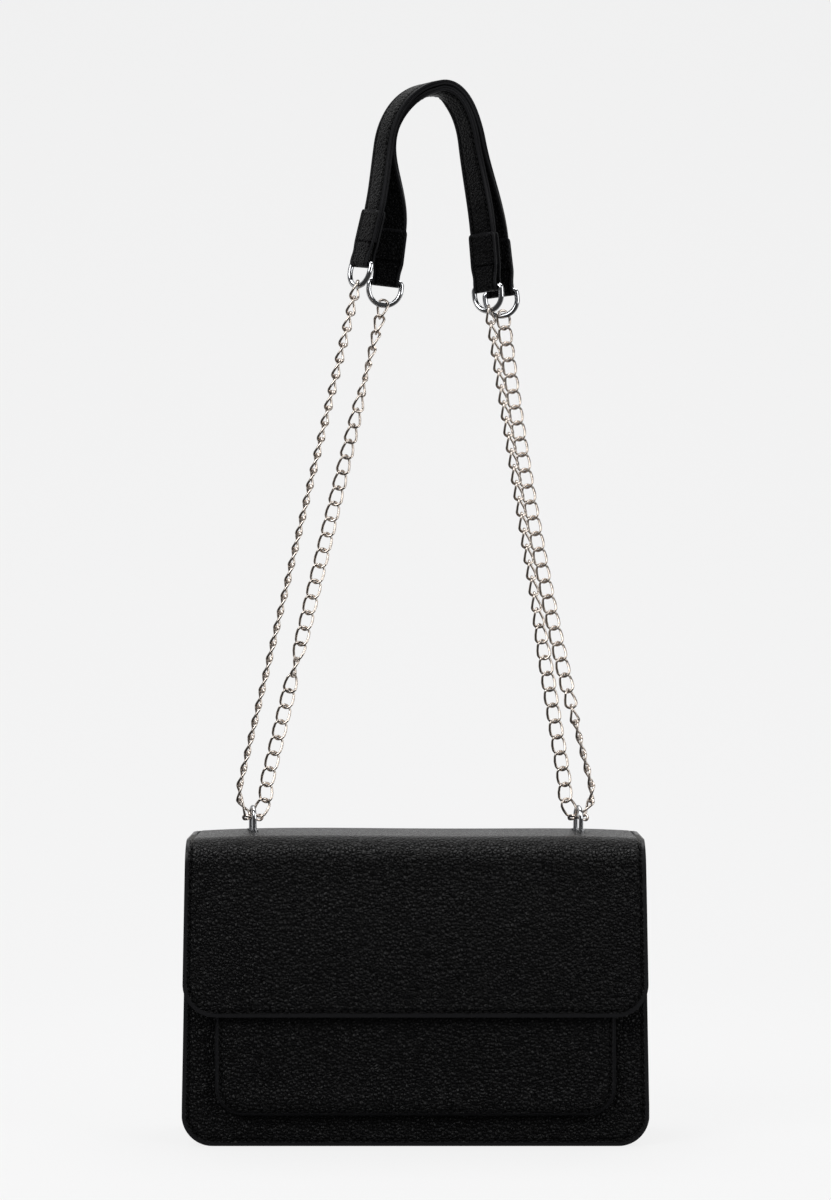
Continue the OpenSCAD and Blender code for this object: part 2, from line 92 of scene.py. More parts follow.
# Front pocket, lining and inner pocket
POCKET_Y = -31.4
POCKET_HALF = 103.5
POCKET_LOW = 16.0
POCKET_HIGH = 112.0
POCKET_CORNER_R = 15.0
POCKET_T = 1.9
POCKET_ROLL = 3.2
LINING_FRONT_Y = -22.2
LINING_BACK_Y = 32.6
LINING_IN = 6.3
LINING_T = 0.8
LINING_WRINKLE = 0.35
INNER_HALF = 70.0
INNER_LOW = 48.0
INNER_HIGH = 122.0
INNER_CORNER_R = 8.0

# Distances from an edge at which a panel has its points: close together where the stitches press it in
EDGE_STEPS = [0.0, 0.5, 1.0, 1.7, 2.3, 2.7, 3.1, 3.5, 4.1, 5.0]
FOOT_STEPS = [6.0, 7.0, 8.0, 9.0, 10.0, 11.0, 12.0, 13.0, 14.5, 16.0]
LIP_STEPS = [0.0, 0.6, 1.2, 2.0, 3.0, 4.0]
PANEL_LINE = 3.1
STRAP_LINE = 2.1
TAB_LINE = 1.8
CORNER_STEPS = 18

# Bridges and chain
BRIDGE_X = 86.0
BRIDGE_Y = 9.0
LINK_WIRE = 1.4
LINK_W = 8.0
LINK_INNER = 8.7
LINK_GAP = 0.2
LINK_R = (LINK_W - LINK_WIRE) / 2
LINK_H = (LINK_INNER + LINK_WIRE) / 2 - LINK_R
LINK_REACH = LINK_H + LINK_R
LINK_PITCH = LINK_INNER - LINK_GAP
LINK_TWIST = math.radians(80)
PIVOT_Z = 167.4
FIRST_LEAN = math.radians(30)
HOOK_PULL = LINK_R - 1.5 * LINK_WIRE - LINK_GAP
FAR_WIRE = 2 * LINK_REACH - LINK_WIRE / 2

# Rings, tabs and straps
RING_W = 17.2
RING_ROD = 2.8
RING_DROP = 4.2 + RING_W / 2
RING_HOLD = LINK_WIRE + RING_ROD / 2 + 0.1
STRAP_W = 15.0
STRAP_T = 3.4
STRAP_LEATHER_T = 1.8
STRAP_SQUEEZE = 0.64
TAB_PLY = 1.0
TAB_INNER_R = STRAP_T / 2 + 0.1
TAB_FLAT_R = 1.15
TAB_NECK_W = RING_W - RING_ROD - 0.2
TAB_BAND_W = STRAP_W + 1.2
TAB_NECK_H = 11.0
TAB_H = 28.0
TAB_CORNER_R = 2.2
CROWN = np.array([11.4, BRIDGE_Y, 555.9 - STRAP_T / 2])
CROWN_SLIT = 0.3
ROUND_PULL = 1.66
ARCH_TURN = 127.0
WAIST_DROP = 32.2
WAIST_X = {-1: 11.4 - 26.6, 1: 11.4 + 18.4}
WAIST_LEAN = math.radians(8)
INNER_SLIP = 4.0
TURN_SHARE = 0.34
ARCH_STEPS = 11
CURVE_POINTS = 26

# Stitches: the smaller size and closer pitch of those on straps and tabs, how far each is turned off its row,
# and how deep a row lies in its leather
SMALL_STITCH = 0.8
SMALL_PITCH = 0.85
STITCH_SLANT = 0.12
STITCH_SINK = 0.3

# Where each D-ring hangs: x, distance behind the bridges, turn, links in its run, side of the bag, end of the
# turn link that its run starts from, tilt, and the angle through which the run bends
PLACES = {
    "outer_left": (-31.0, -7.0, 128.0, 34, -1, -1, math.radians(13), 0.0),
    "outer_right": (46.5, 7.0, 168.0, 32, 1, 1, math.radians(6.5), math.radians(8)),
    "inner_left": (-17.3, 7.0, 178.0, 33, -1, 1, math.radians(7), 0.0),
    "inner_right": (38.8, -7.0, 144.0, 32, 1, -1, math.radians(4.5), 0.0),
}
# Turn of the chain's flat side about the run: shares of the way up from the bridge, and degrees at each
CHAIN_TURNS = {
    "outer_left": ((0.0, 0.6, 1.0), (92.0, 88.0, 70.0)),
    "outer_right": ((0.0, 0.17, 0.26, 1.0), (92.0, 86.0, 8.0, -5.0)),
    "inner_left": ((0.0, 0.24, 0.28, 0.33, 0.5, 0.8, 0.86, 1.0), (0.0, 5.0, 90.0, 176.0, 184.0, 225.0, 270.0, 315.0)),
    "inner_right": ((0.0, 0.3, 0.42, 1.0), (0.0, 8.0, 58.0, 64.0)),
}

# Looks
# The colour of the leather's smooth painted rim: edge paint, made lighter than the leather partly as a painted
# highlight where the rounded edge catches the light.
RIM_PAINT_AND_HIGHLIGHT_COLOUR = (0.0105, 0.0105, 0.0115)
# Painted shade: the colour of the leather's stitch grooves, near black.
GROOVE_PAINTED_SHADE = (0.0004, 0.0004, 0.0004)
LEATHER_ROUGH = (0.32, 0.38)
# Painted shade: the share of the leather's colour in the creases between the grain's cells.
CREASE_PAINTED_SHADE = 0.12
FRAME_FINISHES = {"leather": "leather", "lining": "cloth", "board": "board", "steel": "steel", "chrome": "chrome",
                  "chain": "chain"}

# Lamps: name, place, what it faces, width and height in metres, and power in watts
LAMPS = (
    ("key softbox", (-1000, -1150, 1350), (0, 0, 200), 1.0, 1.1, 18),
    ("fill softbox", (1300, -900, 800), (0, 0, 250), 0.9, 1.4, 10),
    ("top softbox", (0, 250, 1500), (0, 0, 150), 1.4, 0.8, 16),
)
# The sweep, in metres from the bag: its half width, how far it lies in front, its bend, and its height behind
SWEEP_HALF = 5.0
SWEEP_FRONT = (-4.0, -1.0)
SWEEP_BEND_Y = 0.6
SWEEP_BEND_R = 1.2
SWEEP_H = 4.0
FLOOR_Z = -0.15
CAMERA_DISTANCE = 1500.0
CAMERA_HEIGHT = 282.3
VIEW_HEIGHT = 616.0
SENSOR_HEIGHT = 24.0


# ---------------------------------------------------------------- places and curves

def placed(points):
    """Turns points measured from the bag's base in millimetres into the frame's metres."""
    return (np.asarray(points, dtype=float) - ORIGIN) * MM


def half_width(z):
    return BAG_HALF_BASE + (BAG_HALF_TOP - BAG_HALF_BASE) * z / BAG_H


def unit(v):
    return v / np.linalg.norm(v)


def smooth(t):
    t = min(max(t, 0.0), 1.0)
    return t * t * (3 - 2 * t)


def marks_across(half, step):
    """Places across a panel as shares from -1 to 1, close together near both edges."""
    near = EDGE_STEPS + [6.5, 9.0]
    count = max(2, int(round((2 * half - 2 * near[-1]) / step)))
    middle = list(np.linspace(near[-1], 2 * half - near[-1], count + 1)[1:-1])
    return np.array(near + middle + [2 * half - d for d in reversed(near)]) / half - 1.0


def panel_rows(high, low, r, step, half=None, inset=0.0, lip=False):
    """Heights and half widths of a panel whose two lower corners are round, from its top edge down."""
    def wide(z):
        return half if half else half_width(z) - inset

    heights = [high - d for d in (LIP_STEPS if lip else [0.0])]
    while heights[-1] - step > low + r + 1:
        heights.append(heights[-1] - step)
    centre = wide(low + r) - r
    turns = [math.radians(90 * i / CORNER_STEPS) for i in range(1, CORNER_STEPS + 1)]
    return [(z, wide(z)) for z in heights] + [
        (low + r - r * math.sin(a), centre + r * math.cos(a)) for a in turns]


def outline_of(rows):
    """The open outline of a panel, from its top left corner round to its top right one, as x and z."""
    return np.array([(-w, z) for z, w in rows] + [(w, z) for z, w in reversed(rows)])


def inward(outline):
    """Directions into a panel, at right angles to its open outline."""
    tangent = np.gradient(outline, axis=0)
    tangent /= np.linalg.norm(tangent, axis=1)[:, None]
    return np.stack([-tangent[:, 1], tangent[:, 0]], axis=1)


def distance_to(points, outline):
    """Distance of points from a line of short segments, in the plane."""
    best = np.full(len(points), 1e9)
    for a, b in zip(outline[:-1], outline[1:]):
        ab = b - a
        size = ab @ ab
        if size < 1e-9:
            continue
        t = np.clip(((points - a) @ ab) / size, 0, 1)
        best = np.minimum(best, np.linalg.norm(points - (a + t[:, None] * ab), axis=1))
    return best


def evenly(line, normals, pitch):
    """Places at an even pitch along a line in space, with the line's direction and the normal at each."""
    legs = np.linalg.norm(np.diff(line, axis=0), axis=1)
    run = np.concatenate([[0], np.cumsum(legs)])
    count = max(1, int(run[-1] / pitch))
    marks = (run[-1] - (count - 1) * pitch) / 2 + pitch * np.arange(count)

    def read(values, ahead=0.0):
        return np.stack([np.interp(marks + ahead, run, values[:, i]) for i in range(3)], axis=1)

    tangent = read(line, 0.3) - read(line, -0.3)
    tangent /= np.maximum(np.linalg.norm(tangent, axis=1), 1e-9)[:, None]
    return read(line), tangent, read(normals)


def xyz(x, y, z):
    """Points from their three coordinates, each an array or one number for all."""
    return np.stack(np.broadcast_arrays(x, y, z), axis=1)


# ---------------------------------------------------------------- meshes

def choose(obj):
    bpy.ops.object.select_all(action="DESELECT")
    obj.select_set(True)
    bpy.context.view_layer.objects.active = obj


def new_object(name, data):
    obj = bpy.data.objects.new(name, data)
    bpy.context.scene.collection.objects.link(obj)
    return obj


def mesh_piece(name, points, faces, face_slots=None):
    """Makes an object from points in bag millimetres."""
    mesh = bpy.data.meshes.new(name)
    mesh.from_pydata([tuple(p) for p in placed(points)], [], [tuple(int(i) for i in f) for f in faces])
    if face_slots is not None:
        mesh.polygons.foreach_set("material_index", np.asarray(face_slots, dtype=np.int32))
    mesh.update()
    return new_object(name, mesh)


def grid_faces(rows, cols, start=0, closed=False):
    faces = []
    for i in range(rows - 1):
        for j in range(cols if closed else cols - 1):
            a = start + i * cols + j
            b = start + i * cols + (j + 1) % cols
            faces.append((a, b, b + cols, a + cols))
    return faces


def on_all_faces(obj, operator, **settings):
    choose(obj)
    bpy.ops.object.mode_set(mode="EDIT")
    bpy.ops.mesh.select_all(action="SELECT")
    operator(**settings)
    bpy.ops.object.mode_set(mode="OBJECT")


def turn_outwards(obj, merge=0.0):
    """Turns all faces outwards, once points nearer than the merge distance are joined."""
    if merge:
        on_all_faces(obj, bpy.ops.mesh.remove_doubles, threshold=merge)
    on_all_faces(obj, bpy.ops.mesh.normals_make_consistent, inside=False)


def apply_all(obj):
    choose(obj)
    for mod in list(obj.modifiers):
        bpy.ops.object.modifier_apply(modifier=mod.name)


def thicken(obj, thickness, offset, bevel):
    """Gives a sheet its thickness, with its rim in the edge finish and rounded."""
    solid = obj.modifiers.new("ply", "SOLIDIFY")
    solid.thickness = thickness * MM
    solid.offset = offset
    solid.use_even_offset = False
    solid.material_offset_rim = 1
    if bevel:
        turned = obj.modifiers.new("turned edge", "BEVEL")
        turned.width = bevel * MM
        turned.segments = 2
        turned.limit_method = "ANGLE"
        turned.angle_limit = math.radians(50)
        turned.harden_normals = False
    apply_all(obj)


def smooth_shading(obj, degrees=45):
    choose(obj)
    bpy.ops.object.shade_smooth_by_angle(angle=math.radians(degrees))


def dress(obj, *kinds):
    """Gives an object its finishes: that of its faces, and then that of its cut edges."""
    obj.data.materials.clear()
    for kind in kinds:
        obj.data.materials.append(finish(kind))


def make_ply(sheet, thickness, bevel, face="leather", edge="edge", merge=None, offset=-1.0):
    """Turns a sheet into one ply of its material. A sheet with no merge distance is inside out, and is flipped."""
    if merge is None:
        on_all_faces(sheet, bpy.ops.mesh.flip_normals)
    else:
        turn_outwards(sheet, merge)
    thicken(sheet, thickness, offset, bevel)
    smooth_shading(sheet)
    dress(sheet, face, edge)
    return sheet


# ---------------------------------------------------------------- finishes

class Nodes:
    """Adds nodes to one tree."""

    def __init__(self, tree):
        self.tree = tree

    def feed(self, sockets, values):
        """Gives each named input its value, or a link from another node's output."""
        for label, value in values.items():
            if isinstance(value, bpy.types.NodeSocket):
                self.tree.links.new(value, sockets[label])
            else:
                sockets[label].default_value = value

    def add(self, kind, inputs=None, result=0, **settings):
        """Adds a node and gives one of its outputs, or all of them if the result is None."""
        node = self.tree.nodes.new("ShaderNode" + kind)
        for label, value in settings.items():
            setattr(node, label, value)
        self.feed(node.inputs, inputs or {})
        return node.outputs if result is None else node.outputs[result]

    def math(self, operation, *values, clamp=False):
        return self.add("Math", dict(enumerate(values)), operation=operation, use_clamp=clamp)

    def noise(self, vector, scale, detail=2.0, result="Fac"):
        return self.add("TexNoise", {"Vector": vector, "Scale": scale, "Detail": detail}, result)

    def ramp(self, value, low, high):
        """Maps a 0 to 1 value onto a range."""
        return self.add("MapRange", {"Value": value, "To Min": low, "To Max": high})

    def mix(self, factor, first, second):
        ends = {label: colour if isinstance(colour, bpy.types.NodeSocket) else (*colour, 1)
                for label, colour in (("A", first), ("B", second))}
        return self.add("Mix", {**ends, "Factor": factor}, "Result", data_type="RGBA")

    def bump(self, height, strength, distance):
        return self.add("Bump", {"Height": height, "Strength": strength, "Distance": distance})

    def group(self, kind, vector, **numbers):
        """The outputs of a shared node group, which is made once."""
        if kind not in GROUPS:
            GROUPS[kind] = GROUP_MAKERS[kind]()
        return self.add("Group", {"Vector": vector, **numbers}, None, node_tree=GROUPS[kind])


def shade(colour, share):
    return tuple(share * c for c in colour)


def node_group(name, numbers, results):
    """A group that takes a place and some numbers, with its inner inputs and outputs."""
    tree = bpy.data.node_groups.new(name, "ShaderNodeTree")
    tree.interface.new_socket(name="Vector", in_out="INPUT", socket_type="NodeSocketVector")
    for label, value in numbers.items():
        socket = tree.interface.new_socket(name=label, in_out="INPUT", socket_type="NodeSocketFloat")
        socket.default_value = value
    for label in results:
        tree.interface.new_socket(name=label, in_out="OUTPUT", socket_type="NodeSocketFloat")
    return Nodes(tree), tree.nodes.new("NodeGroupInput").outputs, tree.nodes.new("NodeGroupOutput").inputs


def pebble_group():
    """Pebbled grain: rounded cells of uneven size with fine creases between them."""
    n, given, results = node_group("pebbled grain", {"Cells": 620.0, "Wander": 0.0005},
                                   ("Height", "Crease", "Cloud"))
    place, size = given["Vector"], given["Cells"]
    centred = n.add("VectorMath", {0: n.noise(place, 420.0, 1.0, "Color"), 1: (0.5, 0.5, 0.5)},
                    operation="SUBTRACT")
    scaled = n.add("VectorMath", {0: centred, "Scale": given["Wander"]}, operation="SCALE")
    moved = n.add("VectorMath", {0: place, 1: scaled}, operation="ADD")
    cells = n.add("TexVoronoi", {"Vector": moved, "Scale": size, "Smoothness": 0.35}, "Distance",
                  feature="SMOOTH_F1")
    edges = n.add("TexVoronoi", {"Vector": moved, "Scale": size}, "Distance", feature="DISTANCE_TO_EDGE")
    crease = n.math("MULTIPLY", edges, 6.0, clamp=True)
    dome = n.math("SUBTRACT", 1.0, cells)
    body = n.math("MULTIPLY", dome, crease)
    n.feed(results, {"Height": n.math("MULTIPLY_ADD", n.noise(place, 2600.0), 0.12, body),
                     "Crease": crease, "Cloud": n.noise(place, 38.0, 3.0)})
    return n.tree


def wear_group():
    """Soft uneven patches and hairline marks for metal and smooth paint."""
    n, given, results = node_group("soft wear", {"Scale": 120.0}, ("Patches", "Fine"))
    n.feed(results, {"Patches": n.noise(given["Vector"], given["Scale"], 3.0),
                     "Fine": n.noise(given["Vector"], 1500.0)})
    return n.tree


def weave_group():
    """Plain weave: two sets of threads that cross on object coordinates."""
    n, given, results = node_group("plain weave", {"Threads": 1400.0}, ("Height", "Shade"))
    split = n.add("SeparateXYZ", {0: given["Vector"]}, None)
    waves = []
    for way in (n.math("ADD", split["X"], split["Y"]), split["Z"]):
        count = n.math("MULTIPLY", way, given["Threads"])
        waves.append(n.math("SINE", n.math("MULTIPLY", count, math.tau)))
    both = n.math("MULTIPLY", *waves)
    n.feed(results, {"Height": n.math("MULTIPLY_ADD", both, 0.5, 0.5),
                     "Shade": n.noise(given["Vector"], 90.0)})
    return n.tree


GROUP_MAKERS = {"pebble": pebble_group, "wear": wear_group, "weave": weave_group}
GROUPS = {}


def start_material(name):
    mat = bpy.data.materials.new(name)
    mat.use_nodes = True
    n = Nodes(mat.node_tree)
    return mat, n, n.tree.nodes["Principled BSDF"].inputs, n.add("TexCoord", None, "Object")


def grained_leather(name, colour, cells, depth, shine):
    """Pebbled leather. Attributes of its points make its painted rim smooth and lighter, partly as a painted
    highlight, and its stitch groove dark as painted shade.
    """
    mat, n, shader, vector = start_material(name)
    grain = n.group("pebble", vector, Cells=cells)
    rim, groove = [n.add("Attribute", None, "Fac", attribute_name=label) for label in ("rim", "groove")]
    flat = n.math("SUBTRACT", 1.0, rim, clamp=True)
    plain = n.math("SUBTRACT", 1.0, groove, clamp=True)
    # Painted shade: the creases between the grain's cells are coloured darker.
    face = n.mix(grain["Crease"], shade(colour, CREASE_PAINTED_SHADE), colour)
    # The painted rim takes a lighter colour: partly edge paint, partly a painted highlight on the rounded edge.
    edged = n.mix(rim, face, RIM_PAINT_AND_HIGHLIGHT_COLOUR)
    n.feed(shader, {
        # Painted shade: the stitch groove is coloured near black, and below it loses its gloss.
        "Base Color": n.mix(groove, edged, GROOVE_PAINTED_SHADE),
        "Roughness": n.ramp(grain["Cloud"], *LEATHER_ROUGH),
        "Specular IOR Level": n.math("MULTIPLY", plain, shine),
        "Normal": n.bump(n.math("MULTIPLY", grain["Height"], flat), 1.0, depth),
    })
    return mat


def patterned(name, colour, kind, numbers, tone, rough, relief, **extra):
    """A finish whose pattern shades its colour and gives its relief. Rough is one value, or a pattern's range."""
    mat, n, shader, vector = start_material(name)
    pattern = n.group(kind, vector, **numbers)
    label, dark = tone
    base = n.mix(pattern[label], shade(colour, dark), colour)
    if isinstance(rough, tuple):
        rough = n.ramp(pattern[rough[0]], *rough[1:])
    normal = n.bump(pattern[relief[0]], *relief[1:])
    n.feed(shader, {"Base Color": base, "Roughness": rough, "Normal": normal, **extra})
    return mat


def polished(name, colour, rough, rim=None):
    """Metal, with a painted dark reflection: its colour turns dark where it turns away from the viewer, as metal
    mirrors a dim room.
    """
    mat, n, shader, vector = start_material(name)
    wear = n.group("wear", vector, Scale=210.0)
    base = n.mix(wear["Patches"], shade(colour, 0.93), colour)
    if rim:
        # Painted dark reflection: the base colour blends towards the dark colour where the surface turns away from
        # the viewer.
        turned = n.add("LayerWeight", {"Blend": 0.5}, "Facing")
        away = n.add("MapRange", {"Value": turned, "From Min": 0.3, "From Max": 0.72},
                     interpolation_type="SMOOTHSTEP")
        base = n.mix(away, base, rim)
    n.feed(shader, {"Metallic": 1.0, "Base Color": base, "Roughness": n.ramp(wear["Patches"], *rough),
                    "Normal": n.bump(wear["Fine"], 0.05, 0.00002)})
    return mat


FINISH_MAKERS = {
    "leather": lambda look: grained_leather(
        "black pebbled leather", look.leather_colour, look.grain_cells, 0.0009, 0.18),
    "strap leather": lambda look: grained_leather(
        "black strap leather", look.leather_colour, 1.15 * look.grain_cells, 0.0007, 0.05),
    "edge": lambda look: patterned(
        "painted edge", look.edge_colour, "wear", {"Scale": 260.0}, ("Patches", 0.8), ("Patches", 0.32, 0.46),
        ("Fine", 0.25, 0.00006)),
    "thread": lambda look: patterned(
        "black thread", look.thread_colour, "wear", {"Scale": 900.0}, ("Fine", 0.6), 0.62,
        ("Fine", 0.6, 0.00008), **{"Specular IOR Level": 0.15}),
    "cloth": lambda look: patterned(
        "black lining cloth", look.lining_colour, "weave", {"Threads": 1400.0}, ("Height", 0.6),
        ("Shade", 0.72, 0.88), ("Height", 0.5, 0.00008), **{"Sheen Weight": 0.25}),
    "board": lambda look: patterned(
        "black lined board", (0.05, 0.048, 0.045), "wear", {"Scale": 420.0}, ("Fine", 0.7), 0.9,
        ("Fine", 0.4, 0.0001)),
    # The last colour given to the chain and the chrome is their painted dark reflection, where they turn away from
    # the viewer.
    "chain": lambda look: polished("polished chain", look.chain_colour, (0.14, 0.26), (0.13, 0.085, 0.06)),
    "chrome": lambda look: polished("polished chrome", look.metal_colour, (0.07, 0.16), (0.09, 0.095, 0.1)),
    "steel": lambda look: polished("plain steel", (0.45, 0.45, 0.46), (0.3, 0.45)),
}
FINISHES = {}


def finish(kind):
    """The finish of one kind, made once."""
    if kind not in FINISHES:
        FINISHES[kind] = FINISH_MAKERS[kind](bpy.context.scene.bag_finishes)
    return FINISHES[kind]


# ---------------------------------------------------------------- settings

def length(name, description, default, low, high):
    return bpy.props.FloatProperty(
        name=name, description=description, default=default, min=low, max=high, unit="LENGTH", subtype="DISTANCE")


def tint(name, description, default):
    return bpy.props.FloatVectorProperty(
        name=name, description=description, default=default, size=3, min=0, max=1, subtype="COLOR")


class BagSizes(bpy.types.PropertyGroup):
    """Sizes of the dressing that a maker would change."""

    stitch_length: length("Stitch length", "Length of one stitch", 0.0026, 0.0015, 0.005)
    stitch_pitch: length("Stitch pitch", "Distance from one stitch to the next", 0.0033, 0.002, 0.006)
    stitch_in: length("Stitch inset", "Distance of a stitch row from the edge", 0.0031, 0.002, 0.006)
    thread_width: length("Thread width", "Width of the thread on the leather", 0.0006, 0.0003, 0.0012)
    pocket_puff: length("Pocket puff", "How far the padded edge of the pocket stands proud", 0.0011, 0.0, 0.002)
    top_sag: length("Top sag", "How far the top's two ends lie below its middle", 0.0016, 0.0, 0.004)


class BagFinishes(bpy.types.PropertyGroup):
    """Colours and grain of the dressing."""

    leather_colour: tint("Leather", "Colour of the leather", (0.0046, 0.0046, 0.005))
    edge_colour: tint("Edge paint", "Colour of the painted edges", (0.02, 0.02, 0.0215))
    thread_colour: tint("Thread", "Colour of the stitches", (0.005, 0.005, 0.0055))
    lining_colour: tint("Lining", "Colour of the lining cloth", (0.03, 0.03, 0.033))
    chain_colour: tint("Chain", "Colour of the chain", (0.78, 0.70, 0.63))
    metal_colour: tint("Rings and bridges", "Colour of the rings and bridges", (0.80, 0.81, 0.83))
    grain_cells: bpy.props.FloatProperty(
        name="Grain cells", description="Grain cells to a metre", default=540.0, min=200.0, max=1500.0)


# ---------------------------------------------------------------- leather shells

def mark_edges(obj, clears, line):
    """Marks the painted rim and the stitch groove of a piece by the distance of its points from its edge. On leather
    the rim is coloured lighter, partly as a painted highlight, and the groove near black as painted shade.
    """
    clears = np.asarray(clears, dtype=float).ravel()
    rim = np.clip((0.66 * line - clears) / (0.12 * line) + 0.5, 0, 1)
    groove = np.exp(-((clears - line) / (0.1 * line + 0.15)) ** 2)
    for label, values in (("rim", rim), ("groove", groove)):
        obj.data.attributes.new(label, "FLOAT", "POINT").data.foreach_set("value", values)


def sheet_grid(name, sections, clears=None, line=PANEL_LINE):
    """A sheet from rows of points that all have the same count."""
    sheet = mesh_piece(name, np.concatenate(sections), grid_faces(len(sections), len(sections[0])))
    if clears is not None:
        mark_edges(sheet, clears, line)
    return sheet


def seam_dent(clear, depth=0.5):
    """The line pressed into the leather by its stitches."""
    return depth * np.exp(-((clear - PANEL_LINE) / 0.7) ** 2)


def bend(y, r, first, last, count):
    """Part of the shell's side line round a bend."""
    turns = [math.radians(a) for a in np.linspace(first, last, count)]
    return [(y + r * math.cos(a), BAG_H - r + r * math.sin(a), math.cos(a), math.sin(a)) for a in turns]


def shell_line():
    """Line of the outer leather seen from the side, from the back's foot to the flap's: y, z and outward normal."""
    foot = EDGE_STEPS + FOOT_STEPS
    back = foot + list(np.arange(20.0, BAG_H - BACK_BEND_R, 4.0))
    top = np.arange(BACK_Y - BACK_BEND_R - 2.5, FLAP_Y + FRONT_BEND_R + 1, -1.5)
    flap = list(np.arange(BAG_H - FRONT_BEND_R - 2.5, FLAP_LOW + 17, -2.5)) + [FLAP_LOW + d for d in reversed(foot)]
    return ([(BACK_Y, z, 1.0, 0.0) for z in back] + bend(BACK_Y - BACK_BEND_R, BACK_BEND_R, 0, 90, 13)
            + [(y, BAG_H, 0.0, 1.0) for y in top] + bend(FLAP_Y + FRONT_BEND_R, FRONT_BEND_R, 90, 180, 15)
            + [(FLAP_Y, z, -1.0, 0.0) for z in flap])


def shell_corner(y, ny):
    """Height and radius of the round lower corners at one place of the shell's side line, if it has any."""
    if y > 0 and ny > 0.99:
        return 0.0, CORNER_R
    if y < FLAP_Y + 1 and ny < -0.99:
        return FLAP_LOW, FLAP_CORNER_R
    return None


def shell_surface(y, z, ny, marks):
    """Places across the outer leather at one point of its side line, and their distances from its edge."""
    corner = shell_corner(y, ny)
    if not corner:
        half = half_width(z)
        return marks * half, half - np.abs(marks * half)
    low, r = corner
    half = half_width(z)
    centre = half_width(low + r) - r
    dz = low + r - z
    if dz > 0:
        half = centre + math.sqrt(max(r * r - dz * dz, 0.0))
    x = marks * half
    dx = np.abs(x) - centre
    plain = np.minimum(half_width(z) - np.abs(x), z - low)
    return x, np.where((dx > 0) & (dz > 0), r - np.hypot(np.maximum(dx, 0), max(dz, 0.0)), plain)


def end_sag(x, z):
    """How far the top's two ends lie below its middle."""
    sag = bpy.context.scene.bag_sizes.top_sag / MM
    return sag * top_share(z) * np.abs(x / BAG_HALF_TOP) ** 5


def top_share(z):
    return smooth((z - 120.0) / 40.0)


def top_drop(x, z):
    """The sag of the top's ends and a slight wave between them."""
    wave = 0.25 * top_share(z) * np.sin(x / 31.0 + 0.8) * (1 - np.abs(x / BAG_HALF_TOP) ** 4)
    return end_sag(x, z) + wave


def build_shell():
    marks = marks_across(BAG_HALF_BASE, 3.2)
    rows, clears = [], []
    for y, z, ny, nz in shell_line():
        x, clear = shell_surface(y, z, ny, marks)
        clears.append(clear)
        out = -seam_dent(clear) - 0.25 * np.exp(-(clear / 1.2) ** 2)
        if ny < -0.5:
            swell = np.sin(math.pi * np.clip((z - FLAP_LOW) / (BAG_H - FLAP_LOW), 0, 1))
            out += 0.55 * smooth((BAG_H - 6 - z) / 40.0) * swell * np.clip(clear / 26.0, 0, 1)
        rows.append(xyz(x, y + out * ny, z + out * nz - top_drop(x, z)))
    return make_ply(sheet_grid("shell_leather", rows, clears), SHELL_T, 0.5)


def build_flap_facing():
    """The cloth-backed inner ply of the flap."""
    marks = marks_across(BAG_HALF_BASE, 5.0)
    depth = SHELL_T + 0.05
    rows = []
    for y, z, ny, nz in shell_line():
        if y > FOLD_Y - 0.4:
            continue
        x = shell_surface(y, z, ny, marks)[0]
        rows.append(xyz(x * (1 - 0.0015), y - depth * ny, z - depth * nz - (end_sag(x, z) + 0.3 * top_share(z))))
    return make_ply(sheet_grid("flap_facing", rows), FLAP_T - SHELL_T - 0.1, 0.45, "cloth")


def panel_sheet(name, rows, depth, marks):
    """A flat panel with round lower corners. Its depth comes from x, z and the distance to its edge."""
    outline = outline_of(rows)
    sections, clears = [], []
    for z, w in rows:
        x = marks * w
        clears.append(distance_to(np.stack([x, np.full_like(x, z)], axis=1), outline))
        sections.append(xyz(x, depth(x, z, clears[-1]), z))
    return sheet_grid(name, sections, clears)


def build_front():
    rows = panel_rows(MOUTH_H, 0.0, CORNER_R, 5.0, lip=True)

    def depth(x, z, clear):
        return FRONT_Y + seam_dent(clear) + 0.2 * np.exp(-(clear / 1.0) ** 2)

    return make_ply(panel_sheet("front_leather", rows, depth, marks_across(BAG_HALF_BASE, 5.0)), SHELL_T, 0.5)


def build_gusset():
    """The strip round the sides and base, with its seams turned outwards and its sides drawn in a little."""
    corners = outline_of(panel_rows(MOUTH_H, SEAM_W, CORNER_R - SEAM_W, 5.0, inset=SEAM_W))
    fine = [corners[0]]
    for a, b in zip(corners[:-1], corners[1:]):
        count = max(1, int(np.linalg.norm(b - a) / 6.0))
        fine += [a + (b - a) * i / count for i in range(1, count + 1)]
    outline = np.array(fine)
    front, back = GUSSET_FRONT_Y + GUSSET_HALF_T, GUSSET_BACK_Y - GUSSET_HALF_T
    cross = [(out, front + deep) for out, deep in SEAM_BEND]
    cross += [(-GUSSET_HALF_T, front + 2.0 + share * (back - front - 4.0)) for share in np.linspace(0.08, 0.92, 15)]
    cross += [(out, back - deep) for out, deep in reversed(SEAM_BEND)]
    sections = []
    for (x, z), (ox, oz) in zip(outline, -inward(outline)):
        row = []
        for out, y in cross:
            middle = 1 - abs((y - (front + back) / 2) / ((back - front) / 2)) ** 2
            out -= GUSSET_DRAW * smooth((z - 30) / 90.0) * max(middle, 0)
            row.append((x + out * ox, y, z + out * oz))
        sections.append(np.array(row))
    return make_ply(sheet_grid("gusset_leather", sections), GUSSET_T, 0.4, merge=0.00002, offset=0.0)


